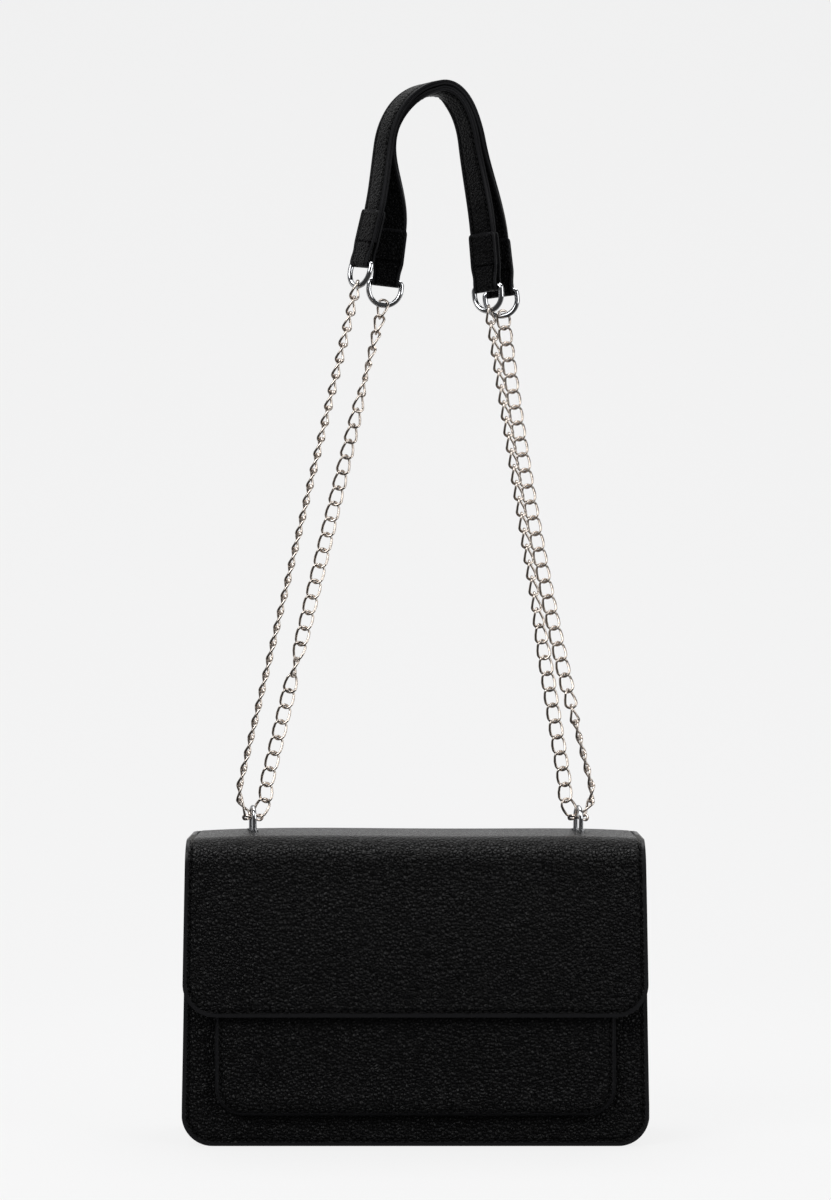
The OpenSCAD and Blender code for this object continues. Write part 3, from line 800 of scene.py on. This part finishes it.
def build_pocket():
    """The padded pocket's face, rolled back at its edge, and the painted wall of its edge."""
    puff = bpy.context.scene.bag_sizes.pocket_puff / MM
    rows = panel_rows(POCKET_HIGH, POCKET_LOW, POCKET_CORNER_R, 3.0, half=POCKET_HALF, lip=True)

    def depth(x, z, clear):
        rolled = POCKET_ROLL * np.clip(1 - clear / 2.6, 0, 1) ** 2.2
        swell = puff * np.exp(-((clear - 8.0) / 6.0) ** 2)
        wave = 0.35 * np.sin(x / 23.0) * np.sin(z / 19.0 + 1.0) * np.clip(clear / 14.0, 0, 1)
        return POCKET_Y + 0.9 + rolled - swell + seam_dent(clear, 0.45) + wave * 0.6

    panel = panel_sheet("pocket_leather", rows, depth, marks_across(POCKET_HALF, 3.0))
    make_ply(panel, POCKET_T, 0.35)
    depths = (POCKET_Y + 3.6, POCKET_Y + 4.6, FRONT_Y - 0.15)
    wall = sheet_grid("pocket_rim", [xyz(x, depths, z) for x, z in outline_of(rows)])
    make_ply(wall, 1.8, 0.3, "edge", merge=0.00002)
    return panel, wall


def build_lining():
    """The open cloth box, of two faces and the band that joins them, and the flat pocket at its back."""
    rows = panel_rows(MOUTH_H, LINING_IN, CORNER_R - LINING_IN, 8.0, inset=LINING_IN)
    marks = np.linspace(-1, 1, 49)
    front, back = [], []
    for z, w in rows:
        x = marks * w
        bulge = np.abs(LINING_WRINKLE * np.sin(x / 17.0 + z / 23.0) * np.clip((w - np.abs(x)) / 12.0, 0, 1))
        front.append(xyz(x, LINING_FRONT_Y + bulge, z))
        back.append(xyz(x, LINING_BACK_Y - bulge, z))
    floor_z, floor_half = rows[-1]
    outline = [(-w, z) for z, w in rows] + [(m * floor_half, floor_z) for m in marks[1:-1]]
    outline += [(w, z) for z, w in reversed(rows)]
    depths = np.linspace(LINING_FRONT_Y, LINING_BACK_Y, 12)
    band = [xyz(x, depths, z) for x, z in outline]
    faces = [face for start in (0, 1) for face in grid_faces(len(rows), len(marks), start * len(rows) * len(marks))]
    faces += grid_faces(len(band), len(depths), 2 * len(rows) * len(marks))
    box = mesh_piece("lining_cloth", np.concatenate(front + back + band), faces)
    make_ply(box, LINING_T, 0.0, "cloth", merge=0.00005)

    def depth(x, z, clear):
        face = LINING_BACK_Y - LINING_T - 0.1 - LINING_T
        return face - 0.5 * np.clip(clear / 20.0, 0, 1) * (1 + 0.5 * np.sin(x / 13.0))

    rows = panel_rows(INNER_HIGH, INNER_LOW, INNER_CORNER_R, 5.0, half=INNER_HALF, lip=True)
    inner = panel_sheet("inner_pocket_cloth", rows, depth, np.linspace(-1, 1, 57))
    make_ply(inner, 0.7, 0.2, "cloth", "cloth")
    return box, inner


# ---------------------------------------------------------------- runs and straps

class Run:
    """One run of chain, the D-ring that it ends in, and the directions of the tab that holds the ring."""

    def __init__(self, x, behind, turn, links, side, out, tilt, bow):
        self.turn, self.links, self.side, self.bow = turn, links, side, bow
        self.first_line = np.array([out * math.sin(FIRST_LEAN), 0.0, math.cos(FIRST_LEAN)])
        self.foot = np.array([side * BRIDGE_X + out * LINK_H, BRIDGE_Y, PIVOT_Z]) + HOOK_PULL * self.first_line
        self.start = self.foot + FAR_WIRE * self.first_line + (2 * LINK_PITCH - FAR_WIRE) * UP
        self.length = (links - 3) * LINK_PITCH + 2 * LINK_REACH - RING_HOLD
        chord = self.length * (2 * math.sin(bow / 2) / bow if bow else 1.0)
        height = math.sqrt(chord ** 2 - (x - self.start[0]) ** 2 - behind ** 2)
        self.end = np.array([x, BRIDGE_Y + behind, self.start[2] + height])
        self.up = np.array([-side * math.sin(tilt), 0.0, math.cos(tilt)])
        self.bar = self.end + RING_DROP * self.up
        turned = Matrix.Rotation(-side * tilt, 3, "Y") @ Matrix.Rotation(math.radians(turn), 3, "Z")
        self.wide, self.deep = np.array(turned @ Vector((1, 0, 0))), np.array(turned @ Vector((0, 1, 0)))

    def mark(self, reach):
        """Point and direction at a distance from the start, along the arc of a slack run."""
        line = unit(self.end - self.start)
        if not self.bow:
            return self.start + reach * line, line
        sag = unit(line[2] * line - UP)
        r, half = self.length / self.bow, self.bow / 2
        angle = self.bow * (0.5 - reach / self.length)
        along, aside = r * (math.sin(half) - math.sin(angle)), r * (math.cos(angle) - math.cos(half))
        return self.start + along * line + aside * sag, math.cos(angle) * line + math.sin(angle) * sag


RUNS = {which: Run(*place) for which, place in PLACES.items()}


def curve(a, leaving, b, arriving, t):
    """Smooth curve from one point to another, with its direction given at both."""
    return (a * (2 * t ** 3 - 3 * t ** 2 + 1) + leaving * (t ** 3 - 2 * t ** 2 + t)
            + b * (3 * t ** 2 - 2 * t ** 3) + arriving * (t ** 3 - t ** 2))


def half_strap(run, crown, layer):
    """Half of a strap's middle line: up through its tab, past the arch's waist, and over to the crown.

    Each point comes with its share of the half, which sets how far the strap has turned there."""
    up, bar, side = run.up, run.bar, run.side
    top = bar + TAB_H * up
    turn = math.radians(ARCH_TURN)
    waist = np.array([WAIST_X[side], BRIDGE_Y, CROWN[2] + STRAP_T / 2 - WAIST_DROP])
    waist += side * layer * (STRAP_T + CROWN_SLIT) / 2 * np.array([math.sin(turn), -math.cos(turn), 0.0])
    if side < 0 and layer < 0:
        waist += INNER_SLIP * np.array([math.cos(turn), math.sin(turn), 0.0])
    rise = np.linalg.norm(waist - top)
    lean = np.array([-side * math.sin(WAIST_LEAN), 0.0, math.cos(WAIST_LEAN)])
    over_top = np.array([crown[0] - waist[0], crown[1] - waist[1], 0.0])
    steps = 2 * ARCH_STEPS + 1
    shares = np.linspace(0, 1, CURVE_POINTS)
    half = [(bar + h * up, share / steps) for h, share in zip(
        np.linspace(TAB_NECK_H + 0.2, TAB_H - 3.0, 6), np.linspace(0, 0.85, 6))]
    half += [(curve(top, rise * up, waist, rise * lean, t), (1 + ARCH_STEPS * t) / steps) for t in shares[:-1]]
    half += [(curve(waist, ROUND_PULL * (crown[2] - waist[2]) * lean, crown, ROUND_PULL * over_top, t),
              (1 + ARCH_STEPS + ARCH_STEPS * t) / steps) for t in shares]
    return half


def strap_frames(which):
    """Middle line of a strap with its direction, its width direction and its outward normal."""
    left, right = RUNS[which + "_left"], RUNS[which + "_right"]
    layer = 1 if which == "outer" else -1
    crown = CROWN if which == "outer" else CROWN - (STRAP_T + CROWN_SLIT) * UP
    rising, falling = half_strap(left, crown, layer), half_strap(right, crown, layer)[-2::-1]
    line = [at for at, share in rising + falling]
    shares = [share / 2 for at, share in rising] + [1 - share / 2 for at, share in falling]
    last = len(line) - 1
    frames = []
    for i, share in enumerate(shares):
        along = unit(line[min(i + 1, last)] - line[max(i - 1, 0)])
        turn = math.radians(ARCH_TURN + (left.turn - ARCH_TURN) * smooth(1 - share / TURN_SHARE)
                            + (right.turn - ARCH_TURN) * smooth(1 - (1 - share) / TURN_SHARE))
        flat = np.array([math.cos(turn), math.sin(turn), 0.0])
        level = unit(flat - (flat @ along) * along)
        squeeze = STRAP_SQUEEZE + (1 - STRAP_SQUEEZE) * smooth((min(i, last - i) - 4) / 4)
        frames.append((line[i], along, level, squeeze * np.cross(along, level)))
    return frames


def swept_section(name, frames, section, slots):
    """Sweeps a closed section along frames and closes its two ends."""
    cols = len(section)
    points = np.array([at + a * wide + b * out for at, along, wide, out in frames for a, b in section])
    faces = grid_faces(len(frames), cols, closed=True)
    faces += [tuple(range(cols - 1, -1, -1)), tuple(range(len(points) - cols, len(points)))]
    piece = mesh_piece(name, points, faces, slots * (len(frames) - 1) + [1, 1])
    widest = max(abs(a) for a, b in section)
    mark_edges(piece, [widest - abs(a) for a, b in section] * len(frames), STRAP_LINE)
    turn_outwards(piece)
    return piece


def ply_section(low, high, puff):
    """Section of one ply of a strap: flat below, slightly domed above, with pressed stitch lines and round edges.

    Each of its sides comes with its finish: 0 for the face, and 1 for the painted edge."""
    half = STRAP_W / 2
    line = half - STRAP_LINE
    across = [half - 0.35, half - 1.2, line + 0.5, line, line - 0.5, line - 1.4, 2.5, 0.0]
    across += [-a for a in reversed(across[:-1])]
    section = [(-half + 0.35, low), (half - 0.35, low), (half, low + 0.3), (half, high - 0.35)]
    for a in across:
        edge = half - abs(a)
        dent = 0.45 * math.exp(-((edge - STRAP_LINE) / 0.55) ** 2)
        section.append((a, high + puff * (1 - (a / half) ** 2) - dent - 0.25 * math.exp(-(edge / 0.7) ** 2)))
    section += [(-half, high - 0.35), (-half, low + 0.3)]
    return section, [0, 1, 1, 1] + [0] * (len(across) - 1) + [1, 1, 1]


def build_strap(which):
    """The leather of a strap and the lining behind it."""
    frames = strap_frames(which)
    top = STRAP_T / 2
    seam = top - STRAP_LEATHER_T
    leather, slots = ply_section(seam, top - 0.15, 0.35)
    lining = [(a, -b) for a, b in ply_section(-(seam - 0.03), top - 0.1, 0.12)[0]]
    pieces = []
    for part, section in (("leather", leather), ("lining", lining)):
        piece = swept_section(f"{which}_strap_{part}", frames, section, slots)
        smooth_shading(piece, 40)
        dress(piece, "strap leather", "edge")
        pieces.append(piece)
    return pieces


def build_tab(which):
    """A leather strip folded round the ring's bar, with the strap's end stitched between its two plies."""
    run = RUNS[which]
    mid_r = TAB_INNER_R + TAB_PLY / 2
    neck = TAB_NECK_W / 2
    heights = [TAB_H, TAB_H - 0.5, TAB_H - 1.2, TAB_H - 2.2, *np.linspace(TAB_H - 3.5, TAB_NECK_H + 2.5, 9),
               TAB_NECK_H + 1.0, TAB_NECK_H, TAB_NECK_H - 1.0, 8.0, 6.0, 4.0, 2.0]
    line = [(-mid_r, h) for h in heights]
    line += [(mid_r * math.cos(a), mid_r * math.sin(a)) for a in np.linspace(math.pi, math.tau, 13)]
    line += [(mid_r, h) for h in reversed(heights)]
    marks = np.array([-1, -0.93, -0.84, -0.78, -0.72, -0.62, -0.4, 0, 0.4, 0.62, 0.72, 0.78, 0.84, 0.93, 1])
    sections, clears = [], []
    for a, h in line:
        half = neck + (TAB_BAND_W / 2 - neck) * smooth((h - 3.0) / (TAB_NECK_H - 3.0))
        if h > TAB_H - TAB_CORNER_R:
            rise = (h - TAB_H + TAB_CORNER_R) / TAB_CORNER_R
            half -= 1.2 * (1 - math.sqrt(max(0.0, 1 - rise ** 2)))
        edge = half * (1 - np.abs(marks))
        dent = 0.22 * np.exp(-((edge - 1.7) / 0.5) ** 2) if h > 3 else 0.0
        out = 0.25 * smooth((h - 3) / 6.0) * (1 - marks * marks) - dent
        press = (TAB_INNER_R - TAB_FLAT_R) * smooth((h - 1.0) / 6.0)
        shift = a + (1 if a > 0 else -1) * (out - press)
        sections.append(run.bar + shift[:, None] * run.deep + (half * marks)[:, None] * run.wide + h * run.up)
        clears.append(np.minimum(edge, min(TAB_H - h, TAB_LINE + abs(h - TAB_NECK_H))))
    tab = sheet_grid(which + "_tab_leather", sections, clears, TAB_LINE)
    thicken(tab, TAB_PLY, 0.0, 0.3)
    turn_outwards(tab, 0.00001)
    smooth_shading(tab)
    dress(tab, "strap leather", "edge")
    return tab


# ---------------------------------------------------------------- chain and stitches

def take_mesh(obj):
    """Points in millimetres and faces of an object, which is then removed."""
    points = np.array([v.co[:] for v in obj.data.vertices]) / MM
    faces = [tuple(p.vertices) for p in obj.data.polygons]
    bpy.data.objects.remove(obj, do_unlink=True)
    return points, faces


def copies_piece(name, pattern, placings, kind):
    """One piece of copies of a small mesh, each with the directions and the place that it is given."""
    points, faces = pattern
    all_points = np.concatenate([points @ basis.T + at for basis, at in placings])
    all_faces = [tuple(f + i * len(points) for f in face) for i in range(len(placings)) for face in faces]
    piece = mesh_piece(name, all_points, all_faces)
    choose(piece)
    bpy.ops.object.shade_smooth()
    dress(piece, kind)
    return piece


def curb_link():
    """One curb link: a ring drawn out into an oval and twisted a quarter turn about its length."""
    bpy.ops.mesh.primitive_torus_add(
        major_segments=28, minor_segments=8, major_radius=LINK_R * MM, minor_radius=LINK_WIRE / 2 * MM,
        rotation=(math.pi / 2, 0, 0))
    link = bpy.context.active_object
    bpy.ops.object.transform_apply(location=True, rotation=True, scale=True)
    for v in link.data.vertices:
        if abs(v.co.z) > 1e-6:
            v.co.z += math.copysign(LINK_H * MM, v.co.z)
    twist = link.modifiers.new("quarter twist", "SIMPLE_DEFORM")
    twist.deform_method = "TWIST"
    twist.deform_axis = "Z"
    twist.angle = LINK_TWIST
    apply_all(link)
    return take_mesh(link)


def link_placing(at, way, turn):
    """Directions and place of a link that stands along a line, turned about it."""
    way = unit(way)
    lean = Matrix.Rotation(math.atan2(way[0], way[2]), 3, "Y") @ Matrix.Rotation(-math.asin(way[1]), 3, "X")
    return np.array(lean @ Matrix.Rotation(math.radians(turn), 3, "Z")), at


def chain_placings(which):
    """Every link of a run, from the bridge to the ring."""
    run = RUNS[which]
    marks = [(run.foot, run.first_line), (run.start - LINK_PITCH * UP, UP)]
    marks += [(run.mark(k * LINK_PITCH)[0], run.mark(k * LINK_PITCH + LINK_REACH)[1]) for k in range(run.links - 2)]
    return [link_placing(foot + LINK_REACH * unit(way), way, np.interp(k / (run.links - 1), *CHAIN_TURNS[which]))
            for k, (foot, way) in enumerate(marks)]


def one_stitch():
    sizes = bpy.context.scene.bag_sizes
    bpy.ops.mesh.primitive_uv_sphere_add(segments=8, ring_count=6, radius=0.5)
    stitch = bpy.context.active_object
    stitch.scale = (sizes.stitch_length, sizes.thread_width, sizes.thread_width * 0.9)
    bpy.ops.object.transform_apply(location=True, rotation=True, scale=True)
    points, faces = take_mesh(stitch)
    points[:, 0] *= np.where(np.abs(points[:, 0]) > 0.4 * sizes.stitch_length / MM, 1.0, 1.12)
    return points, sorted(faces)  # a new sphere has its faces in another order in each run


def stitches_piece(name, rows, stitch, size=1.0):
    """Copies of one stitch along rows, each turned a little off its row, as a sewing machine lays them."""
    placings = []
    for row in rows:
        for at, tangent, normal in zip(*row):
            n = unit(normal)
            t = unit(tangent - (tangent @ n) * n)
            t = unit(t + STITCH_SLANT * np.cross(n, t))
            placings.append((np.stack([t, np.cross(n, t), n], axis=1), at))
    points, faces = stitch
    return copies_piece(name, (points * size, faces), placings, "thread")


def outline_row(outline, y, pitch, facing=-1.0):
    """Stitch row along an outline given as x and z."""
    return evenly(xyz(outline[:, 0], y, outline[:, 1]), np.tile([0.0, facing, 0.0], (len(outline), 1)), pitch)


def shell_edge_row(side, inset, pitch):
    """Stitch row along one side of the shell, from the back's corner over the top to the flap's corner."""
    line, normals = [], []
    for y, z, ny, nz in shell_line():
        corner = shell_corner(y, ny)
        if corner and z < sum(corner):
            continue
        x = side * (half_width(z) - inset)
        line.append((x, y - STITCH_SINK * ny, z - STITCH_SINK * nz - top_drop(x, z)))
        normals.append((0.0, ny, nz))
    return evenly(np.array(line), np.array(normals), pitch)


def corner_row(low, r, inset, y, facing, pitch):
    """Stitch row round the two lower corners of the back or the flap."""
    centre = half_width(low + r) - r
    outline = [(side * centre + (r - inset) * math.cos(a), low + r + (r - inset) * math.sin(a))
               for side, first, last in ((-1, math.pi, 1.5 * math.pi), (1, 1.5 * math.pi, math.tau))
               for a in np.linspace(first, last, 16)]
    return outline_row(np.array(outline), y, pitch, facing)


def panel_row(rows, inset, y, pitch):
    """Stitch row inside the sides and the foot of a panel."""
    outline = outline_of(rows)
    return outline_row(outline + inset * inward(outline), y, pitch)


def strap_rows(which, pitch):
    """The two stitch rows on each face of a strap."""
    frames = strap_frames(which)[5:-5]
    rows = []
    for side in (-1, 1):
        for face in (1, -1):
            line = np.array([at + side * (STRAP_W / 2 - STRAP_LINE) * wide + face * (STRAP_T / 2 - 0.2) * out
                             for at, along, wide, out in frames])
            rows.append(evenly(line, np.array([face * out for at, along, wide, out in frames]), pitch))
    return rows


def tab_rows(run, pitch):
    """The loop of stitches on each face of a tab."""
    half, high = TAB_BAND_W / 2 - TAB_LINE, TAB_H - TAB_LINE
    loop = [(-half, TAB_NECK_H), (-half, high), (half, high), (half, TAB_NECK_H), (-half, TAB_NECK_H)]
    rows = []
    for face in (1, -1):
        line = np.array([run.bar + a * run.wide + h * run.up + face * (TAB_FLAT_R + TAB_PLY + 0.02) * run.deep
                         for a, h in loop])
        rows.append(evenly(line, np.tile(face * run.deep, (len(line), 1)), pitch))
    return rows


# ---------------------------------------------------------------- stage

def build_sweep():
    """A pale floor that bends up behind the bag. It glows towards the camera, and is dimmed in reflections."""
    centre = placed([0, 0, 0])
    floor_z = float(placed([0, 0, FLOOR_Z])[2])
    profile = [(y, 0.0) for y in SWEEP_FRONT]
    profile += [(SWEEP_BEND_Y + SWEEP_BEND_R * math.sin(a), SWEEP_BEND_R - SWEEP_BEND_R * math.cos(a))
                for a in np.linspace(0, math.pi / 2, 17)]
    profile.append((SWEEP_BEND_Y + SWEEP_BEND_R, SWEEP_H))
    points = [(centre[0] + side * SWEEP_HALF, centre[1] + y, floor_z + z) for y, z in profile for side in (-1, 1)]
    mesh = bpy.data.meshes.new("stage_sweep")
    mesh.from_pydata(points, [], grid_faces(len(profile), 2))
    mesh.update()
    stage = new_object("stage_sweep", mesh)
    smooth_shading(stage, 60)

    mat, n, shader, vector = start_material("pale sweep")
    n.feed(shader, {"Roughness": 0.8, "Base Color": (0.5, 0.5, 0.505, 1)})
    path = n.add("LightPath", None, None)
    mirrored = path["Is Glossy Ray"]
    depth = n.add("SeparateXYZ", {0: vector}, "Y")
    behind = n.add("MapRange", {"Value": depth, "From Min": centre[1] + 0.05, "From Max": centre[1] + 0.5,
                              "To Min": 0.04, "To Max": 0.95})
    lost = n.math("MULTIPLY", mirrored, n.math("SUBTRACT", 1.0, behind))
    glow = n.add("Emission", {"Color": (1, 1, 1, 1), "Strength": n.math("SUBTRACT", 1.0, lost)})
    share = n.math("MULTIPLY_ADD", path["Is Camera Ray"], 0.82, mirrored, clamp=True)
    mixed = n.add("MixShader", {"Fac": share, 1: n.tree.nodes["Principled BSDF"].outputs[0], 2: glow})
    n.feed(n.tree.nodes["Material Output"].inputs, {"Surface": mixed})
    mesh.materials.append(mat)


def light_room(scene):
    """A pale room, dimmed in reflections, and the lamps."""
    world = bpy.data.worlds.new("soft studio")
    scene.world = world
    world.use_nodes = True
    n = Nodes(world.node_tree)
    path = n.add("LightPath", None, None)
    dim = n.math("MULTIPLY_ADD", path["Is Glossy Ray"], -0.22, 0.28)
    n.feed(n.tree.nodes["Background"].inputs, {
        "Color": (0.93, 0.94, 0.96, 1), "Strength": n.math("MULTIPLY_ADD", path["Is Camera Ray"], 0.68, dim)})
    for name, at, target, width, height, power in LAMPS:
        light = bpy.data.lights.new(name, "AREA")
        light.shape = "RECTANGLE"
        light.size, light.size_y, light.energy = width, height, power
        obj = new_object(name, light)
        obj.location = Vector(tuple(placed(at)))
        aim = Vector(tuple(placed(target))) - obj.location
        obj.rotation_euler = aim.to_track_quat("-Z", "Y").to_euler()


def place_camera(scene):
    """The photo's view: level, straight from the front, and far off."""
    cam = bpy.data.cameras.new("photo view")
    cam.sensor_fit = "VERTICAL"
    cam.sensor_height = SENSOR_HEIGHT
    cam.lens = SENSOR_HEIGHT * CAMERA_DISTANCE / VIEW_HEIGHT
    cam.clip_start, cam.clip_end = 0.05, 30.0
    obj = new_object("photo view", cam)
    obj.location = Vector(tuple(placed([0.0, FLAP_Y - CAMERA_DISTANCE, CAMERA_HEIGHT])))
    obj.rotation_euler = (math.pi / 2, 0, 0)
    scene.camera = obj
    scene.view_settings.view_transform = "Standard"


# ---------------------------------------------------------------- operators

def carry(piece, body, slot, *nodes):
    """Hands a finished piece to the frame: the body that it rides on, the solids that it replaces, and its slot,
    which is not used.
    """
    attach(piece, body)
    if nodes:
        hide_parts(*nodes)


class BAG_OT_shell(bpy.types.Operator):
    """Build the leather of the back, top and flap, and the flap's inner facing"""

    bl_idname = "bag.shell"
    bl_label = "Shell leather"

    def execute(self, context):
        shell = build_shell()
        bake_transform(shell)
        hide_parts("back_panel", "flap_leather")
        carry(build_flap_facing(), "flap", "lining", "flap_lining")
        return {"FINISHED"}


class BAG_OT_body(bpy.types.Operator):
    """Build the front leather and the gusset"""

    bl_idname = "bag.body"
    bl_label = "Front and gusset"

    def execute(self, context):
        carry(build_front(), "bag", "leather", "front_panel")
        carry(build_gusset(), "bag", "leather", "gusset")
        return {"FINISHED"}


class BAG_OT_pocket(bpy.types.Operator):
    """Build the padded front slip pocket"""

    bl_idname = "bag.pocket"
    bl_label = "Front pocket"

    def execute(self, context):
        panel, wall = build_pocket()
        carry(panel, "bag", "leather", "pocket_panel")
        carry(wall, "bag", "leather")
        return {"FINISHED"}


class BAG_OT_lining(bpy.types.Operator):
    """Build the cloth lining and its inner pocket"""

    bl_idname = "bag.lining"
    bl_label = "Lining"

    def execute(self, context):
        box, inner = build_lining()
        carry(box, "bag", "lining", "lining")
        carry(inner, "bag", "lining", "inner_pocket")
        return {"FINISHED"}


class BAG_OT_straps(bpy.types.Operator):
    """Build the two shoulder straps and their end tabs"""

    bl_idname = "bag.straps"
    bl_label = "Straps and tabs"

    def execute(self, context):
        for which in ("outer", "inner"):
            leather, lining = build_strap(which)
            carry(leather, "strap", "leather", which + "_pad")
            carry(lining, "strap", "leather", which + "_pad_lining")
        for which in RUNS:
            carry(build_tab(which), "strap", "leather", which + "_tab")
        return {"FINISHED"}


class BAG_OT_chains(bpy.types.Operator):
    """Build the four chain runs and the two links that lie in the bridges"""

    bl_idname = "bag.chains"
    bl_label = "Chains"

    def execute(self, context):
        link = curb_link()
        for which in RUNS:
            run = copies_piece(which + "_curb_chain", link, chain_placings(which), "chain")
            carry(run, "strap", "chain", which + "_chain")
        for side, word in ((-1, "left"), (1, "right")):
            placing = link_placing(np.array([side * BRIDGE_X, BRIDGE_Y, PIVOT_Z]), np.array([1.0, 0.0, 0.0]), 90.0)
            turn = copies_piece(word + "_turn_curb_link", link, [placing], "chain")
            carry(turn, "strap", "chain", word + "_turn_link")
        return {"FINISHED"}


class BAG_OT_stitches(bpy.types.Operator):
    """Sew the rows of stitches on the shell, front, pocket, straps and tabs"""

    bl_idname = "bag.stitches"
    bl_label = "Stitches"

    def execute(self, context):
        sizes = context.scene.bag_sizes
        pitch, inset = sizes.stitch_pitch / MM, sizes.stitch_in / MM
        stitch = one_stitch()

        def sew(name, rows, body, size=1.0):
            carry(stitches_piece(name + "_stitches", rows, stitch, size), body, "leather")

        rows = [shell_edge_row(side, inset, pitch) for side in (-1, 1)]
        rows.append(corner_row(0.0, CORNER_R, inset, BACK_Y - STITCH_SINK, 1.0, pitch))
        rows.append(corner_row(FLAP_LOW, FLAP_CORNER_R, inset, FLAP_Y + STITCH_SINK, -1.0, pitch))
        shell = stitches_piece("shell_stitches", rows, stitch)
        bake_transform(shell)
        panel = panel_rows(MOUTH_H - 2, 0.0, CORNER_R, 5.0)
        sew("front", [panel_row(panel, inset, FRONT_Y + STITCH_SINK, pitch)], "bag")
        panel = panel_rows(POCKET_HIGH - 2, POCKET_LOW, POCKET_CORNER_R, 3.0, half=POCKET_HALF)
        hem = np.array([(-POCKET_HALF + 4, POCKET_HIGH - 4), (POCKET_HALF - 4, POCKET_HIGH - 4)])
        y = POCKET_Y + 0.75
        sew("pocket", [panel_row(panel, inset, y, pitch), outline_row(hem, y, pitch)], "bag")
        for which in ("outer", "inner"):
            sew(which + "_strap", strap_rows(which, SMALL_PITCH * pitch), "strap", SMALL_STITCH)
        for which, run in RUNS.items():
            sew(which + "_tab", tab_rows(run, SMALL_PITCH * pitch), "strap", SMALL_STITCH)
        return {"FINISHED"}


class BAG_OT_frame_finishes(bpy.types.Operator):
    """Give each carried-over solid its finish"""

    bl_idname = "bag.frame_finishes"
    bl_label = "Finishes of the solids"

    def execute(self, context):
        slots = {part["node"]: part["material_slot"] for part in frame["record"]["subparts"]}
        for node, obj in frame["nodes"].items():
            mat = finish(FRAME_FINISHES[slots[node]])
            if not obj.material_slots:
                obj.data.materials.append(mat)
            for slot in obj.material_slots:
                slot.material = mat
        return {"FINISHED"}


class BAG_OT_stage(bpy.types.Operator):
    """Set the floor and its backdrop, the room, the lamps and the camera"""

    bl_idname = "bag.stage"
    bl_label = "Stage"

    def execute(self, context):
        build_sweep()
        light_room(context.scene)
        place_camera(context.scene)
        return {"FINISHED"}


class BAG_PT_panel(bpy.types.Panel):
    """Lists the steps and the settings of the bag"""

    bl_label = "Shoulder Bag"
    bl_idname = "BAG_PT_panel"
    bl_space_type = "VIEW_3D"
    bl_region_type = "UI"
    bl_category = "Shoulder Bag"

    def draw(self, context):
        for operator in STEPS:
            self.layout.operator(operator.bl_idname)
        for settings in (context.scene.bag_sizes, context.scene.bag_finishes):
            box = self.layout.box()
            for name in settings.__annotations__:
                box.prop(settings, name)


STEPS = (BAG_OT_shell, BAG_OT_body, BAG_OT_pocket, BAG_OT_lining, BAG_OT_straps, BAG_OT_chains, BAG_OT_stitches,
         BAG_OT_frame_finishes, BAG_OT_stage)
CLASSES = (BagSizes, BagFinishes) + STEPS + (BAG_PT_panel,)


def register():
    for cls in CLASSES:
        bpy.utils.register_class(cls)
    bpy.types.Scene.bag_sizes = bpy.props.PointerProperty(type=BagSizes)
    bpy.types.Scene.bag_finishes = bpy.props.PointerProperty(type=BagFinishes)


def unregister():
    del bpy.types.Scene.bag_finishes
    del bpy.types.Scene.bag_sizes
    for cls in reversed(CLASSES):
        bpy.utils.unregister_class(cls)


def main():
    register()
    bpy.ops.bag.shell()
    bpy.ops.bag.body()
    bpy.ops.bag.pocket()
    bpy.ops.bag.lining()
    bpy.ops.bag.straps()
    bpy.ops.bag.chains()
    bpy.ops.bag.stitches()
    bpy.ops.bag.frame_finishes()
    bpy.ops.bag.stage()


if __name__ == "__main__":
    main()
